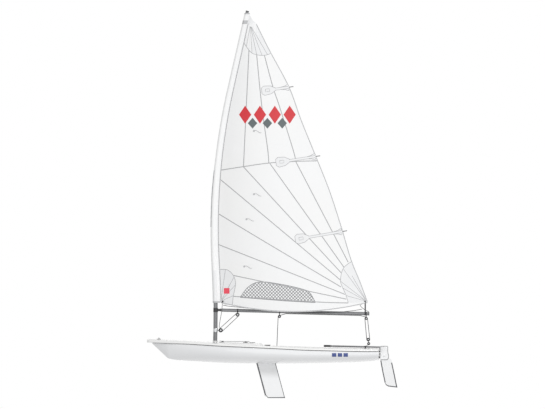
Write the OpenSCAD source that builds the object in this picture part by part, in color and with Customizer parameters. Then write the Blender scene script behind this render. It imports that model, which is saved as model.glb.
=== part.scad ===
// Single-handed sailing dinghy: decked hull, unstayed mast, one sleeved sail.
// +X is forward, +Y to port, +Z up. The origin is on the waterline, in the middle of its length.

/* [Hull] */
// Greatest beam over the gunwales
beam = 1370; // [1320:10:1400]
// Width of the cockpit well
well_w = 600; // [520:10:620]
// Radius of the cockpit well's corners
well_corner = 90; // [60:5:110]
// Wall of the moulded cockpit tub
tub_wall = 8; // [5:1:10]

/* [Mast and boom] */
// Radius of the lower mast
mast_r = 38; // [32:1:40]
// Radius of the upper mast
topmast_r = 29; // [24:1:30]
// Lean of the mast in its step, towards the stern, in degrees
mast_lean = 1.2; // [0.8:0.1:1.6]
// Radius of the boom
boom_r = 30; // [26:1:32]

/* [Sail] */
// Thickness of the cloth as a solid
cloth_t = 3; // [2:0.5:4]
// Depth of the sail's curve as a share of its chord
camber = 0.08; // [0.06:0.01:0.10]

/* [Blades] */
// Thickness of the daggerboard and of the rudder blade
blade_t = 21; // [18:1:22]
// Chord of the daggerboard, across its edges
board_chord = 341; // [320:1:350]
// Rake of the daggerboard in degrees
board_rake = 15; // [14:0.5:16]

/* [Hidden] */
$fn = 48;

// Hull and deck stations, bow first. Columns: place along X, half beam as a share of the
// greatest, how far the gunwale overhangs the hull, height of the sheer, of the gunwale's top
// above it, of the deck at the centreline, of the keel, and the fullness of the hull's section.
// Fullness 1 is a straight V and 2 an ellipse; the first two stations are deck alone.
X = 0; SHARE = 1; OVERHANG = 2; SHEER = 3; RIM = 4; DECK = 5; KEEL = 6; FULL = 7;
STATIONS = [
    [2332, 0.035,  0, 326, 28, 358,   0, 0.0],
    [2310, 0.085,  0, 312, 50, 369,   0, 0.0],
    [2255, 0.142, 85, 309, 54, 369, 306, 1.1],
    [2150, 0.229, 70, 305, 50, 364, 206, 1.15],
    [2050, 0.302, 55, 301, 48, 359, 111, 1.2],
    [1957, 0.369, 45, 297, 46, 355,  24, 1.3],
    [1915, 0.397, 42, 295, 45, 353,  10, 1.35],
    [1800, 0.472, 36, 291, 44, 348, -10, 1.5],
    [1600, 0.584, 30, 284, 42, 338, -26, 1.75],
    [1300, 0.726, 26, 265, 40, 323, -43, 2.0],
    [ 950, 0.854, 25, 243, 38, 310, -64, 2.2],
    [ 600, 0.936, 25, 228, 38, 303, -73, 2.35],
    [ 298, 0.982, 25, 214, 38, 298, -76, 2.45],
    [ 232, 0.988, 25, 211, 38, 254, -76, 2.5],
    [-100, 1.000, 25, 195, 38, 236, -76, 2.55],
    [-500, 0.997, 25, 174, 38, 225, -73, 2.6],
    [-1010, 0.959, 25, 160, 38, 207, -63, 2.6],
    [-1046, 0.956, 25, 159, 38, 218, -62, 2.6],
    [-1400, 0.902, 25, 150, 38, 210, -52, 2.6],
    [-1700, 0.836, 25, 147, 38, 202, -36, 2.6],
    [-1886, 0.796, 25, 148, 38, 198, -15, 2.6]
];
transom_x = -1886;
roll = 9;                 // rounding of the gunwale's two edges
crown_steps = 5;          // facets from the gunwale to the centreline
hull_steps = 10;          // facets from the keel to the sheer
skin_gap = 0.5;           // fittings stand this far off the deck
eye_x = 2114;             // middle of the bow eye

// Cockpit: the well's front and aft walls, the shelf ahead of it, and their heights
well_front = -105;
well_aft = -1010;
shelf_front = 28;
shelf_w = 240;
shelf_z = 165;
floor_z = [42, 30];       // at the front and at the stern end
lip_z = [247, 209];       // the coaming's lip, at the shelf's front and at the well's aft end
lip_top = 400;            // above every lip: where the cut-outs end

// Mast: foot, then straight, bent forward, straight, bent aft, straight
mast_foot = [1096.6, 10];
step_deep = 500;          // cutting length of the step's holes
step_top = 320;           // length of the step from its bottom, at -8
heel_l = 590;
low_bend_r = 13600;
low_bend = -3.8;
mid_straight_l = 300;
top_bend_r = 11600;
top_bend_low = 5.15;      // turned within the lower mast
top_bend = 15.5;
head_l = 1445;
step_wall = 6;
bond_gap = 1;             // between the deck moulding and what stands in its holes
spar_step = 220;          // length of one facet along a bent spar
spar_sides = 28;
fit = 0.05;               // running clearance of pins and of the mast in its step

// Boom: its two ends on the centreline, X and Z
boom_fore = [970, 895];
boom_aft = [-1700, 829];

// Vang: middles of its two blocks, X and Z
vang_low = [990, 529];
vang_high = [682, 813];

// Sail: heights of the foot and the head, the luff sleeve, the leech, the foot's round
foot_z = 1027;
head_z = 6118;
sleeve_top = 6300;
foot_round = 168;
// Leech as height and place along X
LEECH = [
    [foot_z, -1694], [1397, -1557], [1806, -1392], [2370, -1224], [3080, -993], [3706, -744],
    [4353, -482], [4948, -264], [5659, 113], [head_z, 342]
];
SLEEVE_ROWS = [
    foot_z, 1250, 1500, 1806, 2170, 2500, 2843, 3250, 3706, 4150, 4600, 5100, 5659, head_z, sleeve_top
];
round_z = 1110;           // height by which the foot's round has faded to half
ROWS = concat([foot_z, round_z], [for (z = SLEEVE_ROWS) if (z > round_z && z <= head_z) z]);
seam_gap = 1.2;           // between the sleeve's edge and the panels
panel_steps = 10;
sleeve_step_z = 3000;     // the sleeve starts to narrow to the upper mast here
sleeve_slim_z = 3706;     // and ends here

// Blades and steering
board_x = 361;            // leading edge of the board at the waterline
board_bottom = -704;
board_top = 246;
slot_gap = 3;             // between the board and each side of its slot
pintle_x = -1906;
pintle_r = 4;
head_front = -1917;
head_aft = -2050;
cheek_t = 7;
web_t = 14;               // wall between the cheeks, in front of the blade
blade_gap = 1;            // between the blade and each cheek
bolt = [-1985, 50];
bolt_r = 5;
tiller_r = 15;
tiller_z = 226;           // height of the tiller's axis under the traveller
tiller_rise = 1.3;        // in degrees
tiller_back = 342;        // length of the tiller behind the traveller
tiller_l = 1030;
traveller_x = -1703;
eye_rise = 36;            // height of the bridle's eyes over the deck
traveller_block_z = 285;
sheet_block_z = 360;
eye_z = [20, 132];        // undersides of the two eyes on the transom
eye_h = 22;

function half_beam(s) = s[SHARE] * beam / 2;
function column(c) = [for (s = STATIONS) [s[X], s[c]]];
function beam_at(x) = lookup(x, column(SHARE)) * beam / 2;
function deck_z(x, y) = let (
        top = lookup(x, column(SHEER)) + lookup(x, column(RIM)),
        share = min(1, abs(y) / (beam_at(x) - roll)))
    top + (lookup(x, column(DECK)) - top) * (1 - share * share);
function hull_stations() = [for (s = STATIONS) if (s[FULL] > 0) s];

// One section of the hull: a closed ring from the port sheer under the keel to starboard
function hull_ring(s) = let (b = half_beam(s) - s[OVERHANG], d = s[SHEER] - s[KEEL], p = 2 / s[FULL])
    [for (i = [-hull_steps : hull_steps]) let (t = 90 * i / hull_steps)
        [s[X], -sign(t) * b * pow(abs(sin(t)), p), s[SHEER] - d * pow(abs(cos(t)), p)]];

// Port half of the deck's section, from the underside to the crown
function deck_half(s) = let (b = half_beam(s), low = s[SHEER], top = s[SHEER] + s[RIM], w = b - roll)
    concat(
        [[w, low], [b, low + roll], [b, top - roll]],
        [for (k = [0 : crown_steps - 1]) let (u = 1 - k / crown_steps)
            [w * u, top + (s[DECK] - top) * (1 - u * u)]]);
function deck_ring(s) = let (half = deck_half(s), n = len(half))
    concat(
        [for (i = [0 : n - 1]) [s[X], -half[i][0], half[i][1]]],
        [[s[X], 0, s[DECK]]],
        [for (i = [n - 1 : -1 : 0]) [s[X], half[i][0], half[i][1]]]);

// Solid through a row of like rings
module loft(rings) {
    n = len(rings[0]);
    last = (len(rings) - 1) * n;
    sides = [for (r = [0 : len(rings) - 2], i = [0 : n - 1])
        let (a = r * n + i, b = r * n + (i + 1) % n) each [[a, b, b + n], [a, b + n, a + n]]];
    caps = [for (i = [0 : floor(n / 2) - 1]) let (j = n - 1 - i) each [
        [i, j, i + 1], [last + i, last + i + 1, last + j],
        if (j - 1 > i + 1) each [
            [i + 1, j, j - 1], [last + i + 1, last + j - 1, last + j]]]];
    polyhedron([for (r = rings) each r], concat(sides, caps));
}

module rounded_rect(x0, x1, w, r) {
    translate([x0 + r, -w / 2]) square([x1 - x0 - 2 * r, w]);
    translate([x0, -w / 2 + r]) square([x1 - x0, w - 2 * r]);
    for (x = [x0 + r, x1 - r], y = [-w / 2 + r, w / 2 - r]) translate([x, y]) circle(r);
}

// Plan of the cockpit: the well, and the narrower shelf that carries the sheet block
module well_plan(wall) {
    rounded_rect(well_aft - wall, well_front + wall, well_w + 2 * wall, well_corner + wall);
}
module shelf_plan(wall) {
    rounded_rect(well_front - 120, shelf_front + wall, shelf_w + 2 * wall, 40 + wall);
}
module cockpit_plan(wall) {
    well_plan(wall);
    shelf_plan(wall);
}

// Side view of the cockpit, drawn in X and Z
module cockpit_side(wall, top_front, top_aft) {
    polygon([
        [shelf_front + wall, top_front], [shelf_front + wall, shelf_z - wall],
        [well_front + wall, shelf_z - wall], [well_front - 15 + wall, floor_z[0] - wall],
        [well_aft - wall, floor_z[1] - wall], [well_aft - wall, top_aft]
    ]);
}

module across(width) rotate([90, 0, 0]) linear_extrude(width, center = true) children();

module cockpit_space(wall, top_front, top_aft) {
    intersection() {
        linear_extrude(lip_top) cockpit_plan(wall);
        across(2 * well_w) cockpit_side(wall, top_front, top_aft);
    }
}

module along_mast(from, length, r) {
    translate([mast_foot[0], 0, mast_foot[1]]) rotate([0, -mast_lean, 0])
        translate([0, 0, from]) cylinder(h = length, r = r);
}

module board_axes() translate([board_x, 0, 0]) rotate([0, board_rake, 0]) children();

module board_slot() {
    w = blade_t + 2 * slot_gap;
    board_axes() translate([0, 0, -200]) linear_extrude(650)
        rounded_rect(-board_chord - 5, 5, w, w / 2 - 0.5);
}

// Hull
module hull_shell() color([0.92, 0.925, 0.93]) difference() {
    loft([for (s = hull_stations()) hull_ring(s)]);
    cockpit_space(tub_wall, lip_top, lip_top);
    along_mast(-8, step_deep, mast_r + fit + step_wall);
    board_slot();
}

module deck() color([0.97, 0.97, 0.97]) difference() {
    loft([for (s = STATIONS) deck_ring(s)]);
    linear_extrude(lip_top) well_plan(tub_wall + bond_gap);
    linear_extrude(lip_top) shelf_plan(tub_wall + bond_gap);
    along_mast(-8, step_deep, mast_r + fit + step_wall + bond_gap);
    board_slot();
}

module cockpit_tub() color([0.97, 0.97, 0.97]) difference() {
    cockpit_space(tub_wall, lip_z[0], lip_z[1]);
    cockpit_space(0, lip_top, lip_top);
}

module mast_step() color([0.85, 0.85, 0.85]) difference() {
    union() {
        along_mast(-8, step_top + 8, mast_r + fit + step_wall);
        along_mast(step_top - 3, 9, mast_r + 20);
    }
    along_mast(-1, step_deep, mast_r + fit);
}

module bow_eye() color([0.2, 0.2, 0.2]) {
    base = deck_z(2150, 0) + skin_gap;
    bore_z = base + 14;
    width = 32;
    difference() {
        union() {
            translate([2077, -width / 2, base]) cube([75, width, 7]);
            translate([eye_x - 8, -width / 2, base]) cube([16, width, 12]);
            translate([eye_x, width / 2, bore_z]) rotate([90, 0, 0]) cylinder(h = width, r = 13.5);
        }
        translate([eye_x, 20, bore_z]) rotate([90, 0, 0]) cylinder(h = 40, r = 7);
    }
}

module cam_cleat() {
    cylinder(h = 5, r = 17);
    for (y = [-12, 12]) translate([0, y, 5]) cylinder(h = 13, r = 9);
}

module control_cleats() color([0.16, 0.16, 0.17]) {
    base = deck_z(580, 0) + skin_gap;
    translate([487, -85, base]) cube([93, 170, 8]);
    for (y = [-45, 45]) translate([533, y, base + 8]) cam_cleat();
}

module deck_blocks() color([0.16, 0.16, 0.17]) {
    base = deck_z(1010, 0) + skin_gap;
    difference() {
        translate([930, -90, base]) cube([90, 180, 6]);
        along_mast(0, step_deep, mast_r + 24);
    }
    for (y = [-60, 60]) translate([955, y, base + 6]) cylinder(h = 16, r = 15);
}

// Block seen from its side: two cheeks on a grooved sheave, on the centreline unless moved
module block(x, z, r, width = 26) {
    translate([x, 0, z]) rotate([90, 0, 0]) rotate_extrude() polygon([
        [0, -width / 2], [r, -width / 2], [r, -width / 2 + 5], [r - 9, -width / 2 + 8],
        [r - 9, width / 2 - 8], [r, width / 2 - 5], [r, width / 2], [0, width / 2]
    ]);
}

module ratchet_block() color([0.12, 0.12, 0.12]) {
    x = -55;
    translate([x, 0, shelf_z]) cylinder(h = 6, r = 26);
    translate([x - 8, -9, shelf_z + 4]) cube([16, 18, 12]);
    block(x, shelf_z + 38, 28);
}

module grab_rails() color([0.75, 0.76, 0.78]) for (side = [-1, 1]) {
    off_wall = 26;
    y = side * (well_w / 2 - off_wall);
    rail_z = 178;
    translate([-850, y, rail_z]) rotate([0, 90, 0]) cylinder(h = 600, r = 10);
    for (x = [-820, -550, -280]) translate([x, y, rail_z]) rotate([-90 * side, 0, 0])
        cylinder(h = off_wall, r = 8);
}

module hiking_strap() color([0.13, 0.13, 0.14]) {
    translate([well_aft, -25, 120]) cube([well_front - well_aft - 6, 50, 4]);
}

module bailer() color([0.85, 0.86, 0.87]) {
    translate([-940, 0, floor_z[1] + 1.5]) cylinder(h = 6, r = 30);
}

module transom_bung() color([0.12, 0.12, 0.12]) {
    translate([transom_x - 8, -120, 50]) rotate([0, 90, 0]) cylinder(h = 8, r = 15);
}

// Eyes for the bridle, on posts high enough for it to pass over the tiller
module traveller_eyes() color([0.12, 0.12, 0.12]) for (y = [-480, 480]) {
    base = deck_z(-1600, abs(y) - 20) + skin_gap;
    bore_z = base + eye_rise;
    x = -1640;
    thick = 18;
    difference() {
        union() {
            translate([x - 22, y - thick / 2, base]) cube([44, thick, 6]);
            translate([x, y + thick / 2, bore_z]) rotate([90, 0, 0]) cylinder(h = thick, r = 17);
            translate([x - 10, y - thick / 2, base]) cube([20, thick, eye_rise - 11]);
        }
        translate([x, y + 20, bore_z]) rotate([90, 0, 0]) cylinder(h = 40, r = 7);
    }
}

module traveller_block() color([0.12, 0.12, 0.12]) block(traveller_x, traveller_block_z, 28, 24);

module lower_sheet_block() color([0.12, 0.12, 0.12]) {
    block(traveller_x + 8, sheet_block_z, 32, 26);
    translate([traveller_x - 3, -6, traveller_block_z + 27]) cube([14, 12, 20]);
}

// One strip down the transom with the two eyes that carry the rudder
module gudgeons() color([0.1, 0.1, 0.1]) difference() {
    union() {
        translate([transom_x - 3, -20, -6]) cube([3, 40, 180]);
        for (z = eye_z) {
            translate([pintle_x, 0, z]) cylinder(h = eye_h, r = 9);
            translate([pintle_x, -6, z]) cube([transom_x - pintle_x, 12, eye_h]);
        }
    }
    translate([pintle_x, 0, -20]) cylinder(h = 240, r = pintle_r + fit);
}

// Mast geometry: lean grows towards the stern; points are X and Z
function up(a) = [-sin(a), cos(a)];
function aft(a) = [-cos(a), -sin(a)];
lean_mid = mast_lean + low_bend;
heel_end = mast_foot + heel_l * up(mast_lean);
low_centre = heel_end - low_bend_r * aft(mast_lean);
low_end = low_centre + low_bend_r * aft(lean_mid);
mid_end = low_end + mid_straight_l * up(lean_mid);
top_centre = mid_end + top_bend_r * aft(lean_mid);
joint_lean = lean_mid + top_bend_low;
joint_point = top_centre - top_bend_r * aft(joint_lean);
head_lean = lean_mid + top_bend;
top_end = top_centre - top_bend_r * aft(head_lean);
mast_head = top_end + head_l * up(head_lean);

// Place of the mast's axis along X at height z
function mast_x(z) =
    z < heel_end[1] ? mast_foot[0] - (z - mast_foot[1]) * tan(mast_lean) :
    z < low_end[1] ? low_centre[0] - sqrt(pow(low_bend_r, 2) - pow(z - low_centre[1], 2)) :
    z < mid_end[1] ? low_end[0] - (z - low_end[1]) * tan(lean_mid) :
    z < top_end[1] ? top_centre[0] + sqrt(pow(top_bend_r, 2) - pow(z - top_centre[1], 2)) :
    top_end[0] - (z - top_end[1]) * tan(head_lean);

module straight_spar(p, lean, length, r) {
    translate([p[0], 0, p[1]]) rotate([0, -lean, 0]) cylinder(h = length, r = r);
}

// Lean of the mast's axis at height z
function mast_lean_at(z) =
    z < heel_end[1] ? mast_lean :
    z < low_end[1] ? mast_lean - asin((z - heel_end[1]) / low_bend_r) :
    z < mid_end[1] ? lean_mid :
    z < top_end[1] ? lean_mid + asin((z - mid_end[1]) / top_bend_r) : head_lean;

// Tube that follows the bent axis between two heights, square to it at each ring
module bent_spar(from, to, r) {
    steps = ceil((to - from) / spar_step);
    loft([for (i = [0 : steps]) let (
            z = from + (to - from) * i / steps, lean = mast_lean_at(z), side = [cos(lean), sin(lean)])
        [for (k = [0 : spar_sides - 1]) let (a = 360 * k / spar_sides)
            [mast_x(z) + r * cos(a) * side[0], -r * sin(a), z + r * cos(a) * side[1]]]]);
}

module lower_mast() color([0.6, 0.6, 0.6]) {
    straight_spar(mast_foot + 18 * up(mast_lean), mast_lean, heel_l - 18, mast_r);
    bent_spar(heel_end[1] - 5, joint_point[1], mast_r - 0.1);
}

module mast_heel_plug() color([0.12, 0.12, 0.12]) {
    straight_spar(mast_foot, mast_lean, 18, mast_r - 1);
}

module mast_collar() color([0.12, 0.12, 0.12]) difference() {
    straight_spar(joint_point - 14 * up(joint_lean), joint_lean, 34, mast_r + 1.2);
    straight_spar(joint_point - 15 * up(joint_lean), joint_lean, 15.2, mast_r + 0.3);
    straight_spar(joint_point - 15 * up(joint_lean), joint_lean, 60, topmast_r + 0.3);
}

module upper_mast() color([0.62, 0.62, 0.62]) bent_spar(joint_point[1] + 0.5, mast_head[1], topmast_r);

module mast_cap() color([0.12, 0.12, 0.12]) {
    straight_spar(mast_head, head_lean, 14, topmast_r + 1);
}

// Ring clamped round the lower mast, centred on height z, with a gap off the curved tube
module mast_ring(z, height, wall) {
    lean = z < heel_end[1] ? mast_lean : mast_lean - (z - heel_end[1]) / low_bend_r * 180 / PI;
    p = [mast_x(z), z] - height / 2 * up(lean);
    difference() {
        union() {
            straight_spar(p, lean, height, mast_r + wall);
            children();
        }
        straight_spar(p - 30 * up(lean), lean, height + 60, mast_r + 0.3);
    }
}

module gooseneck() color([0.15, 0.15, 0.15]) {
    z = boom_fore[1] + 2;
    mast_ring(z, 74, 5) {
        translate([boom_fore[0] + 14, -11, z - 22]) cube([mast_x(z) - boom_fore[0] - 44, 22, 44]);
        translate([boom_fore[0] + 16, 0, z - 27]) cylinder(h = 54, r = 9);
    }
}

module vang_tang() color([0.15, 0.15, 0.15]) {
    z = vang_low[1];
    mast_ring(z, 60, 4) translate([vang_low[0] + 22, -5, z - 20])
        cube([mast_x(z) - vang_low[0] - 50, 10, 40]);
}

module vang_lower_block() color([0.12, 0.12, 0.12]) difference() {
    block(vang_low[0], vang_low[1], 40, 34);
    translate([vang_low[0] + 20, -6, vang_low[1] - 22]) cube([30, 12, 44]);
}

// A strap over the boom carries each block under it
function boom_z(x) = boom_aft[1] + (x - boom_aft[0]) * (boom_fore[1] - boom_aft[1])
    / (boom_fore[0] - boom_aft[0]);
boom_slope = atan2(boom_fore[1] - boom_aft[1], boom_fore[0] - boom_aft[0]);
module along_boom(x, length, r) {
    translate([x, 0, boom_z(x)]) rotate([0, 90 - boom_slope, 0]) cylinder(h = length, r = r);
}

module hung_block(x, z, r, width) {
    block(x, z, r, width);
    low = z + r - 14;
    difference() {
        union() {
            along_boom(x - 11, 22, boom_r + 3);
            translate([x - 8, -3, low]) cube([16, 6, boom_z(x) - boom_r - low]);
        }
        along_boom(x - 40, 80, boom_r + 0.1);
    }
}

module vang_upper_block() color([0.12, 0.12, 0.12]) hung_block(vang_high[0], vang_high[1], 36, 34);
module boom_middle_block() color([0.12, 0.12, 0.12]) hung_block(-80, 779, 28, 26);
module boom_end_block() color([0.12, 0.12, 0.12]) hung_block(-1657, 744, 28, 26);

module boom() color([0.6, 0.6, 0.6]) {
    along_boom(boom_aft[0], norm(boom_fore - boom_aft) - 6, boom_r);
}

module boom_front_plug() color([0.12, 0.12, 0.12]) {
    translate([boom_fore[0], 0, boom_fore[1]]) rotate([0, 90 - boom_slope, 0])
        translate([0, 0, -5.9]) cylinder(h = 11, r = boom_r - 3);
}

module boom_end_cap() color([0.08, 0.08, 0.08]) along_boom(boom_aft[0] - 14, 13.9, boom_r + 2);

// Sail: the sleeve is a tube round the mast that draws in to the seam behind it
function seam_back(z) = 87 - 32 * (z - foot_z) / (sleeve_top - foot_z);
function sleeve_r(z) = z < sleeve_step_z ? mast_r + 10 :
    topmast_r + 9 + 10 * max(0, sleeve_slim_z - z) / (sleeve_slim_z - sleeve_step_z);
function seam_x(z) = mast_x(z) - seam_back(z);
function sleeve_section(z, r, back, half_edge) = let (x = mast_x(z)) concat(
    [[x - back, half_edge, z]],
    [for (a = [108 : -18 : -108]) [x + 4 + r * cos(a), r * sin(a), z]],
    [[x - back, -half_edge, z]]);

module sail_sleeve() color([0.96, 0.96, 0.96]) {
    outer = [for (z = SLEEVE_ROWS) sleeve_section(z, sleeve_r(z), seam_back(z), cloth_t / 2)];
    inner = [for (z = SLEEVE_ROWS)
        sleeve_section(z, sleeve_r(z) - cloth_t, seam_back(z) - 12, cloth_t / 4)];
    n = len(outer[0]);
    rows = len(outer);
    in0 = rows * n;
    last = (rows - 1) * n;
    walls = [for (r = [0 : rows - 2], i = [0 : n - 1])
        let (a = r * n + i, b = r * n + (i + 1) % n) each [
            [a, b, b + n], [a, b + n, a + n],
            [in0 + a, in0 + b + n, in0 + b], [in0 + a, in0 + a + n, in0 + b + n]]];
    ends = [for (i = [0 : n - 1]) let (j = (i + 1) % n) each [
        [i, in0 + j, j], [i, in0 + i, in0 + j],
        [last + i, last + j, in0 + last + j], [last + i, in0 + last + j, in0 + last + i]]];
    polyhedron(concat([for (r = outer) each r], [for (r = inner) each r]), concat(walls, ends));
}

// A point of the cloth: u from the luff seam to the leech, z the height of its row
function cloth_point(u, z, side) = let (
        luff = seam_x(z) - seam_gap,
        chord = luff - lookup(z, LEECH),
        up_share = (z - foot_z) / (head_z - foot_z),
        belly = camber * chord * 4 * u * (1 - u) * (1.35 - 0.7 * u),
        dip = foot_round * 4 * u * (1 - u) * pow(1 - up_share, 12))
    [luff - u * chord, belly + side * cloth_t / 2, z - dip];

// The cloth between two shares of the chord, each counted in tenths from the luff
module cloth_strip(from, to) color([0.96, 0.96, 0.96]) loft([for (z = ROWS) concat(
    [for (i = [from : to]) cloth_point(i / panel_steps, z, -1)],
    [for (i = [to : -1 : from]) cloth_point(i / panel_steps, z, 1)])]);

module sail_luff_cloth() cloth_strip(0, 3);

module sail_middle_cloth() cloth_strip(3, 6);

module sail_leech_cloth() cloth_strip(6, panel_steps);

// Section across a blade: round nose, flat sides, a tapered trailing part
module blade_section(chord) {
    r = blade_t / 2;
    translate([-r, 0]) circle(r);
    translate([-0.6 * chord, -r]) square([0.6 * chord - r, blade_t]);
    polygon([[-0.6 * chord, -r], [-0.6 * chord, r], [-chord, 1.5], [-chord, -1.5]]);
}

module daggerboard() color([0.97, 0.97, 0.97]) intersection() {
    board_axes() translate([0, 0, -900]) linear_extrude(1300) blade_section(board_chord);
    across(100) polygon([
        [600, 294], [250, 294], [200, board_top], [-400, board_top], [-400, board_bottom],
        [130, board_bottom], [149, board_bottom + 20], [600, board_bottom + 20]
    ]);
}

module board_stop() color([0.12, 0.12, 0.12]) {
    translate([84, -30, board_top + 9.5]) cube([112, 60, 8]);
    translate([90, -8, board_top]) cube([100, 16, 10]);
}

// Rudder: two cheeks and a front web, open aft and below so that the blade can swing up
module head_outline() polygon([
    [head_front, 238], [head_aft, 238], [head_aft, 150], [-2052, 122], [-2068, 60], [-2060, 20],
    [-2040, -8], [head_front, -8]
]);

module rudder_head() color([0.95, 0.95, 0.95]) {
    inner = blade_t + 2 * blade_gap;
    difference() {
        across(inner + 2 * cheek_t) head_outline();
        translate([head_front - web_t - 300, -inner / 2, -50]) cube([300, inner, 246]);
        tiller_tube(-420, 420);
        translate([bolt[0], 50, bolt[1]]) rotate([90, 0, 0]) cylinder(h = 100, r = bolt_r);
    }
}

// The tiller rises a little towards its front end; the axes lie along it, +Z forward
module tiller_axes() translate([traveller_x, 0, tiller_z]) rotate([0, 90 - tiller_rise, 0]) children();

module tiller_tube(from, length) {
    tiller_axes() translate([0, 0, from]) cylinder(h = length, r = tiller_r);
}

module tiller() color([0.6, 0.6, 0.6]) tiller_tube(-tiller_back, tiller_l);

module tiller_joint() color([0.1, 0.1, 0.1]) tiller_axes() {
    translate([0, 0, tiller_l - tiller_back]) cylinder(h = 130, r = tiller_r + 3);
    translate([0, 0, 795]) rotate([90, 0, 0]) cylinder(h = 50, r = 9);
}

module tiller_extension() color([0.7, 0.7, 0.72]) {
    tiller_axes() translate([0, -38, -140]) cylinder(h = 925, r = 10);
}

module pintles() color([0.12, 0.12, 0.12]) for (z = eye_z) {
    translate([pintle_x, 0, z + eye_h + 2]) cylinder(h = 20, r = 9);
    translate([pintle_x, 0, z - 8]) cylinder(h = eye_h + 14, r = pintle_r);
    translate([head_front, -9, z + eye_h + 2]) cube([pintle_x - head_front, 18, 20]);
}

module blade_bolt() color([0.75, 0.76, 0.78]) {
    half = blade_t / 2 + blade_gap + cheek_t;
    translate([bolt[0], half + 5, bolt[1]]) rotate([90, 0, 0]) cylinder(h = 2 * half + 10, r = bolt_r);
    for (y = [-half - 5.1, half + 0.1]) translate([bolt[0], y + 5, bolt[1]]) rotate([90, 0, 0])
        cylinder(h = 5, r = 10);
}

module rudder_blade() color([0.97, 0.97, 0.97]) difference() {
    union() {
        translate([bolt[0], blade_t / 2, bolt[1]]) rotate([90, 0, 0]) cylinder(h = blade_t, r = 46);
        across(blade_t) polygon([
            [bolt[0] + 42, bolt[1] - 6], [bolt[0] + 42, -14], [-1914, -14], [-1950, -222],
            [-1993, -420], [-2016, -468], [-2057, -493], [-2223, -514], [-2177, -282],
            [-2120, -12], [-2108, 4], [bolt[0] - 38, bolt[1] - 6]
        ]);
    }
    translate([bolt[0], 50, bolt[1]]) rotate([90, 0, 0]) cylinder(h = 100, r = bolt_r + fit);
}

hull_shell();
deck();
cockpit_tub();
mast_step();
bow_eye();
control_cleats();
deck_blocks();
ratchet_block();
grab_rails();
hiking_strap();
bailer();
transom_bung();
traveller_eyes();
traveller_block();
lower_sheet_block();
gudgeons();
lower_mast();
mast_heel_plug();
mast_collar();
upper_mast();
mast_cap();
gooseneck();
vang_tang();
vang_lower_block();
vang_upper_block();
boom();
boom_front_plug();
boom_end_cap();
boom_middle_block();
boom_end_block();
sail_sleeve();
sail_luff_cloth();
sail_middle_cloth();
sail_leech_cloth();
daggerboard();
board_stop();
rudder_head();
pintles();
tiller();
tiller_joint();
tiller_extension();
blade_bolt();
rudder_blade();
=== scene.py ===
import math

import bmesh
import bpy
from mathutils import Matrix, Vector


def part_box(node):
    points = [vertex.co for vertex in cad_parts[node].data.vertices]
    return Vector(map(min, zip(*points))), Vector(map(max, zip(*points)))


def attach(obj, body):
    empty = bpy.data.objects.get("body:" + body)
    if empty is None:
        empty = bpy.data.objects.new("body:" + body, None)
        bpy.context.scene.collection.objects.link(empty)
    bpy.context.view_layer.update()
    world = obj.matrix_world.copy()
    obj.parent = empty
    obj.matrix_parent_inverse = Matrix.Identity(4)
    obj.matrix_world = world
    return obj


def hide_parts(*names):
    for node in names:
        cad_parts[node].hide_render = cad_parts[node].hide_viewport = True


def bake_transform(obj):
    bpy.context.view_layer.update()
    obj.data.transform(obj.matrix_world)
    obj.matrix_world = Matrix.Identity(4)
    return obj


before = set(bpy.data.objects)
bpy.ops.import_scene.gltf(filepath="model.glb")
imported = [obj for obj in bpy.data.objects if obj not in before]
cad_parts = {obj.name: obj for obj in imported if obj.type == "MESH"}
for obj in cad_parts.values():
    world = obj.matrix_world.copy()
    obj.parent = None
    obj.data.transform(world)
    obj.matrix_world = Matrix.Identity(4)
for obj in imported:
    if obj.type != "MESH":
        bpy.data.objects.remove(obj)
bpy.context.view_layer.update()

# Camera, square to the boat's port side and level, so that the bow points left. The view is
# parallel, 9.914 m wide, and centred a little above the boom.
VIEW_WIDTH = 9.914
VIEW_MIDDLE = Vector((0.047, 0.0, 2.816))
camera_data = bpy.data.cameras.new("camera")
camera_data.type = "ORTHO"
camera_data.ortho_scale = VIEW_WIDTH
camera_data.clip_end = 100
camera = bpy.data.objects.new("camera", camera_data)
camera.location = VIEW_MIDDLE + Vector((0, 20, 0))
camera.rotation_euler = (math.pi / 2, 0, math.pi)
bpy.context.scene.collection.objects.link(camera)
bpy.context.scene.camera = camera
bpy.context.scene.view_settings.view_transform = "Standard"


class Wire:
    """An output of a material's node. Sums, products and comparisons on it add Math nodes."""

    def __init__(self, tree, socket):
        self.tree = tree
        self.socket = socket

    def math(self, operation, first, second=0.0):
        node = self.tree.nodes.new("ShaderNodeMath")
        node.operation = operation
        for place, value in enumerate((first, second)):
            if isinstance(value, Wire):
                self.tree.links.new(value.socket, node.inputs[place])
            else:
                node.inputs[place].default_value = value
        return Wire(self.tree, node.outputs[0])

    def __add__(self, other):
        return self.math("ADD", self, other)

    def __radd__(self, other):
        return self.math("ADD", other, self)

    def __sub__(self, other):
        return self.math("SUBTRACT", self, other)

    def __rsub__(self, other):
        return self.math("SUBTRACT", other, self)

    def __mul__(self, other):
        return self.math("MULTIPLY", self, other)

    def __lt__(self, other):
        return self.math("LESS_THAN", self, other)

    def __abs__(self):
        return self.math("ABSOLUTE", self)


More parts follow.
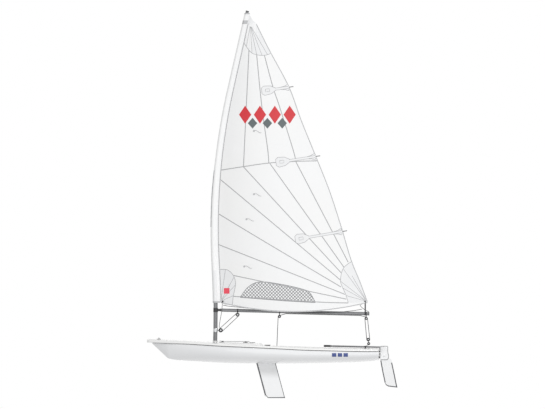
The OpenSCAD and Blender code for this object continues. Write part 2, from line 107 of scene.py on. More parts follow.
class Finish:
    """A material with one Principled shader, whose fixed values are given by socket name."""

    def __init__(self, name, colour, rough, **fixed):
        self.material = bpy.data.materials.new(name)
        self.material.use_nodes = True
        self.tree = self.material.node_tree
        self.shader = self.tree.nodes["Principled BSDF"]
        self.shader.inputs["Base Color"].default_value = (*colour, 1)
        self.shader.inputs["Roughness"].default_value = rough
        for socket, value in fixed.items():
            self.shader.inputs[socket.replace("_", " ")].default_value = value

    def node(self, kind, settings=None, inputs=None, output=0):
        node = self.tree.nodes.new(kind)
        for key, value in (settings or {}).items():
            setattr(node, key, value)
        for key, value in (inputs or {}).items():
            if isinstance(value, Wire):
                self.tree.links.new(value.socket, node.inputs[key])
            else:
                node.inputs[key].default_value = value
        return Wire(self.tree, node.outputs[output])

    def feed(self, socket, wire):
        self.tree.links.new(wire.socket, self.shader.inputs[socket])

    def place(self, kind="Object", scale=(1, 1, 1), turn=(0, 0, 0)):
        spot = self.node("ShaderNodeTexCoord", output={"Object": 3, "UV": 2}[kind])
        return self.node("ShaderNodeMapping", inputs={"Vector": spot, "Scale": scale, "Rotation": turn})

    def axes(self, vector):
        split = self.tree.nodes.new("ShaderNodeSeparateXYZ")
        self.tree.links.new(vector.socket, split.inputs[0])
        return [Wire(self.tree, out) for out in split.outputs]

    def noise(self, vector, scale, detail=4.0, rough=0.5):
        return self.node("ShaderNodeTexNoise",
                         inputs={"Vector": vector, "Scale": scale, "Detail": detail, "Roughness": rough})

    def ramp(self, value, low, high, to_low=0.0, to_high=1.0):
        return self.node("ShaderNodeMapRange", {"clamp": True, "interpolation_type": "SMOOTHSTEP"},
                         {"Value": value, "From Min": low, "From Max": high,
                          "To Min": to_low, "To Max": to_high})

    def blend(self, factor, first, second):
        node = self.tree.nodes.new("ShaderNodeMix")
        node.data_type = "RGBA"
        for place, value in ((0, factor), (6, first), (7, second)):
            if isinstance(value, Wire):
                self.tree.links.new(value.socket, node.inputs[place])
            elif place == 0:
                node.inputs[place].default_value = value
            else:
                node.inputs[place].default_value = (*value, 1)
        return Wire(self.tree, node.outputs[2])

    def bump(self, height, distance, strength=1.0):
        self.feed("Normal", self.node("ShaderNodeBump", inputs={
            "Height": height, "Distance": distance, "Strength": strength}))


def made(name, bm):
    """The mesh that a bmesh holds, which is then let go."""
    mesh = bpy.data.meshes.new(name)
    bm.to_mesh(mesh)
    bm.free()
    return mesh


# Floor at the waterline: a pale sheet that lets light through, so that the blades below it are
# lit, and that shows a little of what is under it. It is edge-on to the camera.
FLOOR_SIZE = 60.0
UNDER_WATER = 0.5         # how much of what is under the floor it hides from above
floor_grid = bmesh.new()
bmesh.ops.create_grid(floor_grid, x_segments=1, y_segments=1, size=FLOOR_SIZE / 2)
floor = bpy.data.objects.new("floor", made("floor", floor_grid))
bpy.context.scene.collection.objects.link(floor)
water = Finish("pale_floor", (0.86, 0.88, 0.9), 0.6)
light_path = water.tree.nodes.new("ShaderNodeLightPath")
facing = water.node("ShaderNodeNewGeometry", output=6)
camera_ray = Wire(water.tree, light_path.outputs["Is Camera Ray"])
see_through = water.tree.nodes.new("ShaderNodeBsdfTransparent")
layers = water.tree.nodes.new("ShaderNodeMixShader")
ripple = water.noise(water.place(), 0.6, 3.0)
water.feed("Base Color", water.blend(ripple, (0.86, 0.88, 0.9), (0.9, 0.92, 0.93)))
cover = camera_ray * (1 - facing) * UNDER_WATER
water.tree.links.new(cover.socket, layers.inputs[0])
water.tree.links.new(see_through.outputs[0], layers.inputs[1])
water.tree.links.new(water.shader.outputs[0], layers.inputs[2])
water.tree.links.new(layers.outputs[0], water.tree.nodes["Material Output"].inputs[0])
floor.data.materials.append(water.material)

# Studio light: a white surround, which the camera and shiny metal see at full strength, a broad
# key from the port bow and a weaker fill from the other side.
SURROUND = 0.54
world = bpy.data.worlds.new("studio")
world.use_nodes = True
bpy.context.scene.world = world
sky = world.node_tree
path = sky.nodes.new("ShaderNodeLightPath")
seen = Wire(sky, path.outputs["Is Camera Ray"])
for ray in ("Is Glossy Ray", "Is Transmission Ray"):
    seen = seen.math("MAXIMUM", seen, Wire(sky, path.outputs[ray]))
strength = SURROUND + seen * (1 - SURROUND)
sky.links.new(strength.socket, sky.nodes["Background"].inputs["Strength"])
sky.nodes["Background"].inputs["Color"].default_value = (1, 1, 1, 1)
for name, power, angle, turn in (
    ("key", 1.12, 12, (-64, 0, 24)),
    ("fill", 0.45, 30, (58, 0, 35)),
    ("under", 0.75, 60, (-122, 0, 10)),
):
    lamp = bpy.data.lights.new(name, "SUN")
    lamp.energy = power
    lamp.angle = math.radians(angle)
    holder = bpy.data.objects.new(name, lamp)
    holder.rotation_euler = [math.radians(a) for a in turn]
    bpy.context.scene.collection.objects.link(holder)


# Hull shell: glass-fibre moulding in pale grey gelcoat, fair from the raked stem to the flat
# transom, with a soft V forward and round bilges aft. It is bonded up under the deck's gunwale.
TRANSOM_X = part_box("hull_shell")[0].x
BOW_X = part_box("deck")[1].x
LINES = [  # x, half beam, overhang, sheer, rim, deck, keel, fullness
    (2.310, 0.058, 0.085, 0.312, 0.050, 0.369, 0.350, 1.1),
    (2.255, 0.097, 0.085, 0.309, 0.054, 0.369, 0.306, 1.1),
    (2.150, 0.157, 0.070, 0.305, 0.050, 0.364, 0.206, 1.15),
    (2.050, 0.207, 0.055, 0.301, 0.048, 0.359, 0.111, 1.2),
    (1.957, 0.253, 0.045, 0.297, 0.046, 0.355, 0.024, 1.3),
    (1.915, 0.272, 0.042, 0.295, 0.045, 0.353, 0.010, 1.35),
    (1.800, 0.323, 0.036, 0.291, 0.044, 0.348, -0.010, 1.5),
    (1.600, 0.400, 0.030, 0.284, 0.042, 0.338, -0.026, 1.75),
    (1.300, 0.497, 0.026, 0.265, 0.040, 0.323, -0.043, 2.0),
    (0.950, 0.585, 0.025, 0.243, 0.038, 0.310, -0.064, 2.2),
    (0.600, 0.641, 0.025, 0.228, 0.038, 0.303, -0.073, 2.35),
    (0.265, 0.675, 0.025, 0.2125, 0.038, 0.299, -0.076, 2.45),
    (-0.100, 0.685, 0.025, 0.195, 0.038, 0.295, -0.076, 2.55),
    (-0.500, 0.683, 0.025, 0.174, 0.038, 0.28, -0.073, 2.6),
    (-1.010, 0.657, 0.025, 0.160, 0.038, 0.27, -0.063, 2.6),
    (-1.400, 0.618, 0.025, 0.150, 0.038, 0.26, -0.052, 2.6),
    (-1.700, 0.573, 0.025, 0.147, 0.038, 0.26, -0.036, 2.6),
    (-1.886, 0.545, 0.025, 0.148, 0.038, 0.26, -0.015, 2.6),
]


def fair(rows, x, column):
    """A fair curve through a column of a table whose first column falls."""
    last = len(rows) - 1
    k = next((i for i in range(last) if x >= rows[i + 1][0]), last - 1)
    (x0, y0), (x1, y1) = ((rows[i][0], rows[i][column]) for i in (k, k + 1))

    def slope(i):
        a, b = rows[max(i - 1, 0)], rows[min(i + 1, last)]
        return (b[column] - a[column]) / (b[0] - a[0])

    t = (x - x0) / (x1 - x0)
    span = x1 - x0
    return ((1 + 2 * t) * (1 - t) ** 2 * y0 + t * (1 - t) ** 2 * span * slope(k)
            + t * t * (3 - 2 * t) * y1 + t * t * (t - 1) * span * slope(k + 1))


BOW_ROWS = [(row[0], row[1] / math.sqrt(BOW_X - row[0])) for row in LINES]


def half_beam(x):
    return fair(BOW_ROWS, x, 1) * math.sqrt(max(BOW_X - x, 0))


def keel(x):
    if x > 1.957:
        return 0.024 + (x - 1.957) * 0.946
    return fair(LINES, x, 6)


def power(value, exponent):
    return math.copysign(abs(value) ** exponent, value)


def lofted(name, across, along, point):
    """A mesh whose grid of across by along cells is laid over point(u, v), both from 0 to 1."""
    bm = bmesh.new()
    bm.loops.layers.uv.new("UVMap")
    bmesh.ops.create_grid(bm, x_segments=across, y_segments=along, size=0.5, calc_uvs=True)
    for vert in bm.verts:
        vert.co = point(vert.co.x + 0.5, vert.co.y + 0.5)
    bmesh.ops.recalc_face_normals(bm, faces=bm.faces)
    return made(name, bm)


def add_piece(name, shape, body, finish, stands_for=(), smooth=35):
    """Makes a piece of a mesh or of several joined, smooth up to that angle, that rides a body."""
    mesh = shape
    if isinstance(shape, list):
        bm = bmesh.new()
        for part in shape:
            bm.from_mesh(part)
        mesh = made(name, bm)
    piece = bpy.data.objects.new(name, mesh)
    bpy.context.scene.collection.objects.link(piece)
    mesh.materials.append(finish.material)
    mesh.shade_smooth()
    mesh.set_sharp_from_angle(angle=math.radians(smooth))
    if body:
        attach(piece, body)
    if stands_for:
        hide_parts(*stands_for)
    return piece


def opened(mesh):
    """A bmesh that starts from a mesh."""
    bm = bmesh.new()
    bm.from_mesh(mesh)
    return bm


def put_back(bm, mesh):
    """Writes an opened mesh back."""
    bm.to_mesh(mesh)
    bm.free()


def settle(piece):
    """Applies a piece's modifiers to its mesh."""
    bpy.context.view_layer.update()
    shaped = piece.evaluated_get(bpy.context.evaluated_depsgraph_get())
    piece.data = bpy.data.meshes.new_from_object(shaped)
    piece.modifiers.clear()


def thicken_wall(piece, thickness, offset):
    """Gives a skin its wall: offset -1 puts it inside, and 0 on both sides."""
    wall = piece.modifiers.new("wall", "SOLIDIFY")
    wall.thickness = thickness
    wall.offset = offset
    settle(piece)


def cut(piece, *cutters):
    """Takes the cutters' solids out of a piece."""
    for mesh in cutters:
        tool = bpy.data.objects.new("cutter", mesh)
        bpy.context.scene.collection.objects.link(tool)
        knife = piece.modifiers.new("cut", "BOOLEAN")
        knife.operation = "DIFFERENCE"
        knife.solver = "EXACT"
        knife.object = tool
        settle(piece)
        bpy.data.objects.remove(tool)


def rounded_loop(x0, x1, half_width, corner, steps=8):
    """Points round a rectangle with round corners, as x and y."""
    loop = []
    for sx, sy, start in ((1, 1, 0), (-1, 1, 90), (-1, -1, 180), (1, -1, 270)):
        centre = Vector(((x1 - corner) if sx > 0 else (x0 + corner), sy * (half_width - corner)))
        for k in range(steps + 1):
            a = math.radians(start + 90 * k / steps)
            loop.append(centre + corner * Vector((math.cos(a), math.sin(a))))
    return loop


def pulled(bm, faces, way):
    """Extrudes faces of a bmesh by a vector, into a solid."""
    far = bmesh.ops.extrude_face_region(bm, geom=faces)["geom"]
    bmesh.ops.translate(bm, verts=[v for v in far if isinstance(v, bmesh.types.BMVert)], vec=way)


def prism(loop, low, high, rake=0.0):
    """Solid between two heights over a loop of x and y, leaning forward by rake per metre."""
    bm = bmesh.new()
    face = bm.faces.new([bm.verts.new((p.x + rake * low, p.y, low)) for p in loop])
    pulled(bm, [face], (rake * (high - low), 0, high - low))
    bmesh.ops.recalc_face_normals(bm, faces=bm.faces)
    return made("prism", bm)


HULL_TOP = 0.012          # the shell's edge goes this far up inside the gunwale
TURNED_UP = 0.06          # share of the shell's grid that does so
SHELL_WALL = 0.006


def hull_point(u, v):
    x = TRANSOM_X + (2.2575 - TRANSOM_X) * (1 - (1 - v) ** 1.5)
    sheer = fair(LINES, x, 3)
    beam = max(half_beam(x) - fair(LINES, x, 2), 0.004)
    depth = max(sheer - keel(x), 0.001)
    p = 2 / fair(LINES, x, 7)
    side = 2 * u - 1
    reach = abs(side) * (1 + TURNED_UP)
    a = math.copysign(min(reach, 1), side) * math.pi / 2
    rise = HULL_TOP * max(reach - 1, 0) / TURNED_UP
    return Vector((x, beam * power(math.sin(a), p), sheer - depth * abs(math.cos(a)) ** p + rise))


gelcoat = Finish("pale_grey_gelcoat", (0.83, 0.838, 0.85), 0.22, Coat_Weight=0.35, Coat_Roughness=0.08)
spot = gelcoat.place()
cloudy = gelcoat.noise(spot, 1.7, 5.0)
speckle = gelcoat.noise(spot, 55.0, 2.0)
scuffed = gelcoat.ramp(gelcoat.noise(gelcoat.place(scale=(1, 6, 14)), 2.4, 8.0, 0.7), 0.56, 0.74)
low_down = gelcoat.ramp(gelcoat.axes(spot)[2], 0.04, -0.06)
tone = gelcoat.blend(cloudy, (0.80, 0.81, 0.825), (0.85, 0.857, 0.868))
gelcoat.feed("Base Color", gelcoat.blend(scuffed * low_down * 0.3, tone, (0.66, 0.67, 0.66)))
gelcoat.feed("Roughness", 0.18 + speckle * 0.08 + scuffed * 0.12)
gelcoat.bump(speckle + cloudy * 2.0, 0.0006, 0.5)

hull = add_piece("hull", lofted("hull", 56, 110, hull_point), "hull", gelcoat,
                 ["hull_shell"], 40)
bm = opened(hull.data)
stern = [e for e in bm.edges if e.is_boundary and all(v.co.x < TRANSOM_X + 1e-4 for v in e.verts)]
bow = [e for e in bm.edges if e.is_boundary and all(v.co.x > 2.257 for v in e.verts)]
for rim in (stern, bow):
    rim_face = bmesh.ops.contextual_create(bm, geom=rim)["faces"]
    if rim is stern:
        bmesh.ops.bevel(bm, geom=[e for f in rim_face for e in f.edges if not e.is_boundary],
                        offset=0.008, segments=3, profile=0.5, affect="EDGES", material=-1)
bmesh.ops.recalc_face_normals(bm, faces=bm.faces)
if sum(f.normal.z * f.calc_area() for f in bm.faces) > 0:
    bmesh.ops.reverse_faces(bm, faces=bm.faces)
put_back(bm, hull.data)
thicken_wall(hull, SHELL_WALL, -1)
RAKE_ANGLE = math.radians(15)
RAKE = math.tan(RAKE_ANGLE)
BOARD_X = 0.361           # the daggerboard's leading edge at the waterline
SLOT_LENGTH = 0.363
slot_loop = rounded_loop(BOARD_X - SLOT_LENGTH + 0.005, BOARD_X + 0.005, 0.0135, 0.013)
cut(hull, prism(slot_loop, -0.2, 0.12, RAKE))

# Rubbing strip: a round black rubber section, bonded where the shell meets the deck moulding and
# tucked in under the gunwale's roll. Its black is a painted shadow: a dark line that stands for the shade
# under the gunwale.
def lengths(path):
    """How far along a path each of its points is."""
    run = [0.0]
    for a, b in zip(path, path[1:]):
        run.append(run[-1] + (b - a).length)
    return run


def tube(name, path, radius, sides=10, ends=True):
    """A round bar swept along a list of points, with a lengthwise UV in metres."""
    path = [Vector(p) for p in path]
    run = lengths(path)
    bm = bmesh.new()
    layer = bm.loops.layers.uv.new("UVMap")
    bmesh.ops.create_grid(bm, x_segments=sides, y_segments=len(path) - 1, size=0.5)
    frames = []
    side = None
    for k, spot in enumerate(path):
        ahead = path[min(k + 1, len(path) - 1)] - path[max(k - 1, 0)]
        ahead.normalize()
        if side is None:
            side = ahead.orthogonal().normalized()
        side = (side - ahead * side.dot(ahead)).normalized()
        frames.append((spot, side, ahead.cross(side)))
    spots = {v: (v.co.x + 0.5, round((v.co.y + 0.5) * (len(path) - 1))) for v in bm.verts}
    for face in bm.faces:
        for loop in face.loops:
            u, k = spots[loop.vert]
            loop[layer].uv = (u, run[k])
    for vert, (u, k) in spots.items():
        middle, x, y = frames[k]
        size = radius(run[k] / run[-1]) if callable(radius) else radius
        a = 2 * math.pi * u
        vert.co = middle + size * (x * math.cos(a) + y * math.sin(a))
    bmesh.ops.remove_doubles(bm, verts=bm.verts, dist=1e-7)
    if ends:
        bmesh.ops.holes_fill(bm, edges=[e for e in bm.edges if e.is_boundary], sides=0)
    bmesh.ops.recalc_face_normals(bm, faces=bm.faces)
    return made(name, bm)


def grainy(name, colour, rough, grain, dark, light, gloss, relief, scale=(1, 1, 1)):
    """A finish whose one grain varies its colour and its gloss, and stands in low relief."""
    finish = Finish(name, colour, rough)
    grains = finish.noise(finish.place(scale=scale), *grain)
    finish.feed("Base Color", finish.blend(grains, dark, light))
    finish.feed("Roughness", gloss[0] + grains * gloss[1])
    finish.bump(grains, *relief)
    return finish


rubber = grainy("black_rubber", (0.02, 0.02, 0.022), 0.7, (420.0, 3.0), (0.014, 0.014, 0.016),
                (0.04, 0.04, 0.043), (0.58, 0.25), (0.0004, 0.5))
shadow_bead_runs = []
for side in (1, -1):
    run = []
    for k in range(81):
        x = TRANSOM_X + 0.01 + (2.2 - TRANSOM_X) * (1 - (1 - k / 80) ** 1.5)
        beam = max(half_beam(x) - fair(LINES, x, 2), 0.004)
        run.append(Vector((x, side * (beam + 0.0065), fair(LINES, x, 3) - 0.004)))
    shadow_bead_runs.append(tube("strip", run, 0.0080, 12))
# This strip is painted shadow: a dark bead laid along the shade line under the gunwale's roll.
add_piece("painted_shadow_strip", shadow_bead_runs, "hull", rubber)

# Deck: white glass-fibre moulding with a rolled gunwale, a crowned foredeck, side decks, and a
# low afterdeck behind a step. Its sitting and standing areas have a moulded non-skid grain.
DECK_STEP_FRONT = (0.298, 0.232)
DECK_STEP_BACK = (-1.010, -1.046)
FORE = [(2.332, 0.358), (2.310, 0.369), (2.255, 0.369), (2.150, 0.364), (1.957, 0.355),
        (1.800, 0.348), (1.600, 0.338), (1.300, 0.323), (0.950, 0.310), (0.600, 0.303), (0.298, 0.298)]
MIDDLE = [(0.232, 0.254), (-0.100, 0.236), (-0.500, 0.225), (-1.010, 0.207)]
AFT = [(-1.046, 0.218), (-1.400, 0.210), (-1.700, 0.202), (-1.886, 0.198)]


def blend_step(x, step, ahead, behind):
    t = min(max((x - step[1]) / (step[0] - step[1]), 0), 1)
    t = t * t * (3 - 2 * t)
    return behind + (ahead - behind) * t


def deck_middle(x):
    if x > DECK_STEP_FRONT[1]:
        ahead = fair(FORE, max(x, DECK_STEP_FRONT[0]), 1)
        return blend_step(x, DECK_STEP_FRONT, ahead, MIDDLE[0][1])
    if x < DECK_STEP_BACK[0]:
        behind = fair(AFT, min(x, DECK_STEP_BACK[1]), 1)
        return blend_step(x, DECK_STEP_BACK, MIDDLE[-1][1], behind)
    return fair(MIDDLE, x, 1)


def deck_section(x):
    """Half beam, the roll's lowest point and height, and the deck's height over the centreline."""
    return half_beam(x), fair(LINES, x, 3) - 0.006, fair(LINES, x, 4) + 0.006, deck_middle(x)


DECK_SHARE = 0.86         # of the deck's grid is flat, and the rest goes round the gunwale's roll


def deck_point(u, v):
    x = TRANSOM_X + (BOW_X - 0.003 - TRANSOM_X) * (1 - (1 - v) ** 1.8)
    beam, low, rise, middle = deck_section(x)
    side = abs(2 * u - 1)
    sign = math.copysign(1, 2 * u - 1)
    roll = rise / 2
    width = min(roll, beam * 0.5)
    if side > DECK_SHARE:
        a = math.pi * (side - DECK_SHARE) / (1 - DECK_SHARE)
        return Vector((x, sign * (beam - width + width * math.sin(a)), low + roll + roll * math.cos(a)))
    y = (beam - width) * side / DECK_SHARE
    top = low + rise
    share = y / max(beam - width, 1e-6)
    return Vector((x, sign * y, top + (middle - top) * (1 - share * share)))


deck_gel = Finish("white_deck_gelcoat", (0.9, 0.9, 0.895), 0.3, Coat_Weight=0.25, Coat_Roughness=0.1)
spot = deck_gel.place()
along, over, up = deck_gel.axes(spot)
tooth = deck_gel.node("ShaderNodeTexVoronoi", {"feature": "F1"}, {"Vector": spot, "Scale": 260.0})
stipple = deck_gel.noise(spot, 380.0, 2.0)
reach = abs(over)
side_pads = deck_gel.ramp(reach, 0.345, 0.352) * deck_gel.ramp(reach, 0.600, 0.592) * (
    deck_gel.ramp(along, -0.955, -0.945) * deck_gel.ramp(along, 0.115, 0.105))
corner_cut = deck_gel.ramp(up, 0.16, 0.17)
fore_pad = deck_gel.ramp(along, 0.395, 0.405) * deck_gel.ramp(along, 0.96, 0.95) * (
    deck_gel.ramp(reach, 0.395, 0.388) * deck_gel.ramp(reach, 0.055, 0.062))
non_skid = (side_pads + fore_pad) * corner_cut
cloudy = deck_gel.noise(spot, 2.3, 6.0)
worn = deck_gel.ramp(deck_gel.noise(deck_gel.place(scale=(1, 2, 1)), 5.0, 9.0, 0.65), 0.55, 0.8)
clean = deck_gel.blend(cloudy, (0.87, 0.872, 0.868), (0.915, 0.915, 0.91))
gritty = deck_gel.blend(tooth, (0.86, 0.862, 0.862), (0.80, 0.803, 0.806))
painted = deck_gel.blend(non_skid, clean, gritty)
deck_gel.feed("Base Color", deck_gel.blend(worn * 0.12, painted, (0.7, 0.7, 0.68)))
deck_gel.feed("Roughness", 0.2 + non_skid * 0.42 + worn * 0.12)
deck_gel.feed("Coat Weight", 0.3 - non_skid * 0.3)
deck_gel.bump(non_skid * (1 - tooth) * 3.0 + stipple * 0.1, 0.0009, 0.7)

deck = add_piece("deck_moulding", lofted("deck_moulding", 100, 160, deck_point), "hull",
                 deck_gel, ["deck"], 40)
bm = opened(deck.data)
if sum(f.normal.z * f.calc_area() for f in bm.faces if abs(f.calc_center_median().y) < 0.2) < 0:
    bmesh.ops.reverse_faces(bm, faces=bm.faces)
put_back(bm, deck.data)
thicken_wall(deck, 0.005, -1)

# Cockpit liner: one white moulding with a shelf for the mainsheet at the front and a self-draining
# foot well. Its lip stands up through the deck as a low rolled coaming.
WELL = (-1.010, -0.105)
WELL_HALF = 0.300
WELL_CORNER = 0.090
LIP_RADIUS = 0.007
MAST_AXIS = Vector((-0.020942, 0, 0.999781))
MAST_FOOT = Vector((1.0966, 0, 0.010))


def on_mast(up, out=0.0, over=0.0):
    """A point this far up the mast's axis at the heel, out ahead of it and over to port."""
    return MAST_FOOT + MAST_AXIS * up + Vector((0.999781 * out, over, 0.020942 * out))


well_hole = rounded_loop(WELL[0] - 0.001, WELL[1] + 0.001, WELL_HALF + 0.001, WELL_CORNER)
mast_hole = [Vector((1.0925 + 0.0415 * math.cos(a), 0.0415 * math.sin(a)))
             for a in [math.tau * k / 32 for k in range(32)]]
cut(deck, prism(well_hole, 0.05, 0.6), prism(mast_hole, 0.2, 0.6),
    prism(slot_loop, 0.15, 0.6, RAKE))


def moulded_copy(name, node, body, finish, edge=0.0012, segments=2, smooth=35):
    """A CAD node's shape with its sharp edges softened, standing for that node."""
    bm = opened(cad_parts[node].data)
    bmesh.ops.remove_doubles(bm, verts=bm.verts, dist=1e-5)
    bmesh.ops.dissolve_limit(bm, angle_limit=math.radians(1), verts=bm.verts, edges=bm.edges)
    if edge:
        sharp = [e for e in bm.edges if len(e.link_faces) == 2 and e.calc_face_angle(0) > math.radians(32)]
        bmesh.ops.bevel(bm, geom=sharp, offset=edge, segments=segments, profile=0.5,
                        affect="EDGES", clamp_overlap=True, material=-1)
    return add_piece(name, made(name, bm), body, finish, [node], smooth)


STEP = 0.03


def stepped(points):
    """A line through points, with more points added about a step apart."""
    spots = [Vector(p) for p in points]
    run = []
    for a, b in zip(spots, spots[1:]):
        steps = max(int((b - a).length / STEP), 1)
        run += [a.lerp(b, k / steps) for k in range(steps)]
    return run + [spots[-1]]


moulded_copy("cockpit_liner", "cockpit_tub", "hull", deck_gel, 0.004, 3)
lip_path = []
for spot in rounded_loop(WELL[0], WELL[1], WELL_HALF, WELL_CORNER, 12):
    beam, low, rise, middle = deck_section(spot.x)
    width = rise / 2
    share = abs(spot.y) / (beam - width)
    height = low + rise + (middle - low - rise) * (1 - share * share)
    lip_path.append(Vector((spot.x, spot.y, height + 0.003)))
lip = tube("coaming_lip", stepped(lip_path + [lip_path[0]]), LIP_RADIUS, 12, ends=False)
add_piece("coaming_lip", lip, "hull", deck_gel, smooth=60)

# Mast: two anodised aluminium tubes in a raked step, the upper one sleeved over the lower. The
# lower tube shows between the deck and the sail, with its collar, vang tang and gooseneck.
def anodised(name, fine, coarse, stained):
    """Drawn grey alloy: fine lines and scratches along the tube, and stains if it gets wet."""
    finish = Finish(name, (0.21, 0.214, 0.22), 0.36, Metallic=0.5)
    relief = drawn = finish.noise(finish.place(scale=fine), 1.0, 3.0, 0.6)
    scratch = finish.ramp(finish.noise(finish.place(scale=coarse), 3.0, 8.0, 0.7), 0.60, 0.72)
    tone = finish.blend(drawn, (0.185, 0.188, 0.195), (0.235, 0.238, 0.246))
    if stained:
        stain = finish.noise(finish.place(), 3.0, 5.0)
        tone = finish.blend(stain * 0.35, tone, (0.165, 0.168, 0.172))
        relief = drawn * 0.4 + stain
    finish.feed("Base Color", finish.blend(scratch * 0.4, tone, (0.40, 0.40, 0.41)))
    finish.feed("Roughness", 0.30 + drawn * 0.16 - scratch * 0.08)
    finish.bump(relief, 0.0003, 0.4)
    return finish


alloy = anodised("grey_anodised_alloy", (260, 260, 2), (40, 40, 3), True)
boom_alloy = anodised("boom_alloy", (2, 260, 260), (3, 40, 40), False)

fitting = Finish("black_moulded_fitting", (0.025, 0.025, 0.027), 0.42)
spot = fitting.place()
grain = fitting.noise(spot, 300.0, 3.0)
sun_worn = fitting.ramp(fitting.noise(spot, 18.0, 6.0), 0.5, 0.75)
fitting.feed("Base Color", fitting.blend(sun_worn, (0.018, 0.018, 0.02), (0.055, 0.055, 0.058)))
fitting.feed("Roughness", 0.36 + grain * 0.2 + sun_worn * 0.1)
fitting.bump(grain, 0.0004, 0.45)

steel = Finish("polished_steel", (0.62, 0.63, 0.64), 0.2, Metallic=1.0)
spot = steel.place()
brushed = steel.noise(steel.place(scale=(60, 400, 60)), 1.0, 4.0, 0.6)
smudge = steel.noise(spot, 30.0, 4.0)
steel.feed("Base Color", steel.blend(smudge, (0.5, 0.51, 0.52), (0.68, 0.69, 0.7)))
steel.feed("Roughness", 0.14 + brushed * 0.16 + smudge * 0.08)
steel.bump(brushed, 0.0002, 0.35)

silver = Finish("silver_anodised_alloy", (0.6, 0.605, 0.61), 0.3, Metallic=0.8)
drawn = silver.noise(silver.place(scale=(2, 240, 240)), 1.0, 3.0, 0.6)
scratch = silver.ramp(silver.noise(silver.place(scale=(4, 30, 30)), 3.0, 8.0, 0.7), 0.58, 0.72)
silver.feed("Base Color", silver.blend(drawn, (0.54, 0.545, 0.55), (0.64, 0.645, 0.65)))
silver.feed("Roughness", 0.24 + drawn * 0.14 + scratch * 0.14)
silver.bump(drawn, 0.0002, 0.4)

moulded_copy("mast_lower_tube", "lower_mast", "rig", alloy, 0.0)
moulded_copy("mast_upper_tube", "upper_mast", "rig", alloy, 0.0)
for name, node in (("mast_heel", "mast_heel_plug"), ("mast_joint_collar", "mast_collar"),
                   ("mast_head_cap", "mast_cap")):
    moulded_copy(name, node, "rig", fitting, 0.0015, 3)
moulded_copy("mast_step_cup", "mast_step", "hull", deck_gel, 0.002, 2)
moulded_copy("gooseneck_fitting", "gooseneck", "rig", fitting, 0.001, 2)
moulded_copy("vang_tang_fitting", "vang_tang", "rig", steel, 0.0006, 2)


def put(bm, centre, normal):
    """Turns a shape made about +Z to face along normal, and moves it to its centre."""
    turn = Vector((0, 0, 1)).rotation_difference(Vector(normal)).to_matrix().to_4x4()
    bmesh.ops.transform(bm, matrix=Matrix.Translation(centre) @ turn, verts=bm.verts)
    bmesh.ops.recalc_face_normals(bm, faces=bm.faces)


def dome(centre, normal, radius, height):
    """A rivet or screw head: a low dome on a surface."""
    bm = bmesh.new()
    bmesh.ops.create_uvsphere(bm, u_segments=14, v_segments=10, radius=1)
    bmesh.ops.bisect_plane(bm, geom=bm.verts[:] + bm.edges[:] + bm.faces[:], plane_co=(0, 0, -0.05),
                           plane_no=(0, 0, -1), clear_outer=True)
    bmesh.ops.holes_fill(bm, edges=[e for e in bm.edges if e.is_boundary], sides=0)
    bmesh.ops.scale(bm, verts=bm.verts, vec=(radius, radius, height))
    put(bm, centre, normal)
    return made("dome", bm)


def disc(centre, normal, radius, thick, edge=0.0015, sides=32):
    """A round plate centred on a point, bevelled at both rims."""
    bm = bmesh.new()
    bmesh.ops.create_cone(bm, cap_ends=True, segments=sides, radius1=radius, radius2=radius, depth=thick)
    rims = [e for e in bm.edges if abs(e.verts[0].co.z - e.verts[1].co.z) < 1e-6]
    bmesh.ops.bevel(bm, geom=rims, offset=edge, segments=3, profile=0.5, affect="EDGES", material=-1)
    put(bm, centre, normal)
    return made("disc", bm)


# Rivets hold the gooseneck, the vang tang and the mast's collar to the tubes.
MAST_RADIUS = 0.038
rivets = []
for up in (0.500, 0.545, 0.868, 0.902):
    for side in (1, -1):
        spot = on_mast(up, 0.012, side * (MAST_RADIUS - 0.0015))
        rivets.append(dome(spot, (0.3, side, 0), 0.0045, 0.002))
add_piece("mast_rivets", rivets, "rig", steel, smooth=50)

# Boom: one straight anodised tube with a moulded plug in front and a heavy black cap behind.
BOOM_FRONT = Vector((0.970, 0, 0.895))
BOOM_BACK = Vector((-1.700, 0, 0.829))
BOOM_RADIUS = 0.030
BOOM_WAY = (BOOM_BACK - BOOM_FRONT).normalized()
BOOM_UP = Vector((BOOM_WAY.z, 0, -BOOM_WAY.x))


def on_boom(x, up=0.0, over=0.0):
    """A point beside the boom's axis at this x, up from it and over to port."""
    return BOOM_FRONT + BOOM_WAY * ((x - BOOM_FRONT.x) / BOOM_WAY.x) + BOOM_UP * up + Vector((0, over, 0))


moulded_copy("boom_tube", "boom", "rig", boom_alloy, 0.0)
moulded_copy("boom_plug", "boom_front_plug", "rig", fitting, 0.0015, 3)
moulded_copy("boom_cap", "boom_end_cap", "rig", fitting, 0.002, 3)
rivets = []
down, out = -math.sin(math.radians(28)), math.cos(math.radians(28))
for x in (0.925, 0.66, 0.70, -0.062, -0.098, -1.58, -1.637, -1.672):
    for side in (1, -1):
        spot = on_boom(x, down * (BOOM_RADIUS - 0.001), side * out * (BOOM_RADIUS - 0.001))
        rivets.append(dome(spot, (0, side * out, down), 0.004, 0.0018))
add_piece("boom_rivets", rivets, "rig", steel, smooth=50)

# Sail: stiff white woven cloth, cut in radial panels and sewn, with three short battens. Its luff
# is a sleeve over the mast, and its belly hangs to port of the boom.
FOOT_Z = 1.027
HEAD_Z = 6.118
SLEEVE_TOP = 6.300
FOOT_ROUND = 0.168
CAMBER = 0.08
CLOTH = 0.0016
LEECH = [(6.118, 0.342), (5.659, 0.113), (4.948, -0.264), (4.353, -0.482), (3.706, -0.744),
         (3.080, -0.993), (2.370, -1.224), (1.806, -1.392), (1.397, -1.557), (1.027, -1.694)]
LEAN = math.radians(1.2)
MAST_ARCS = [  # length along the mast, change of lean in degrees
    (0.590, 0.0), (13.6 * math.radians(3.8), -3.8), (0.300, 0.0), (11.6 * math.radians(15.5), 15.5),
    (1.445, 0.0)]


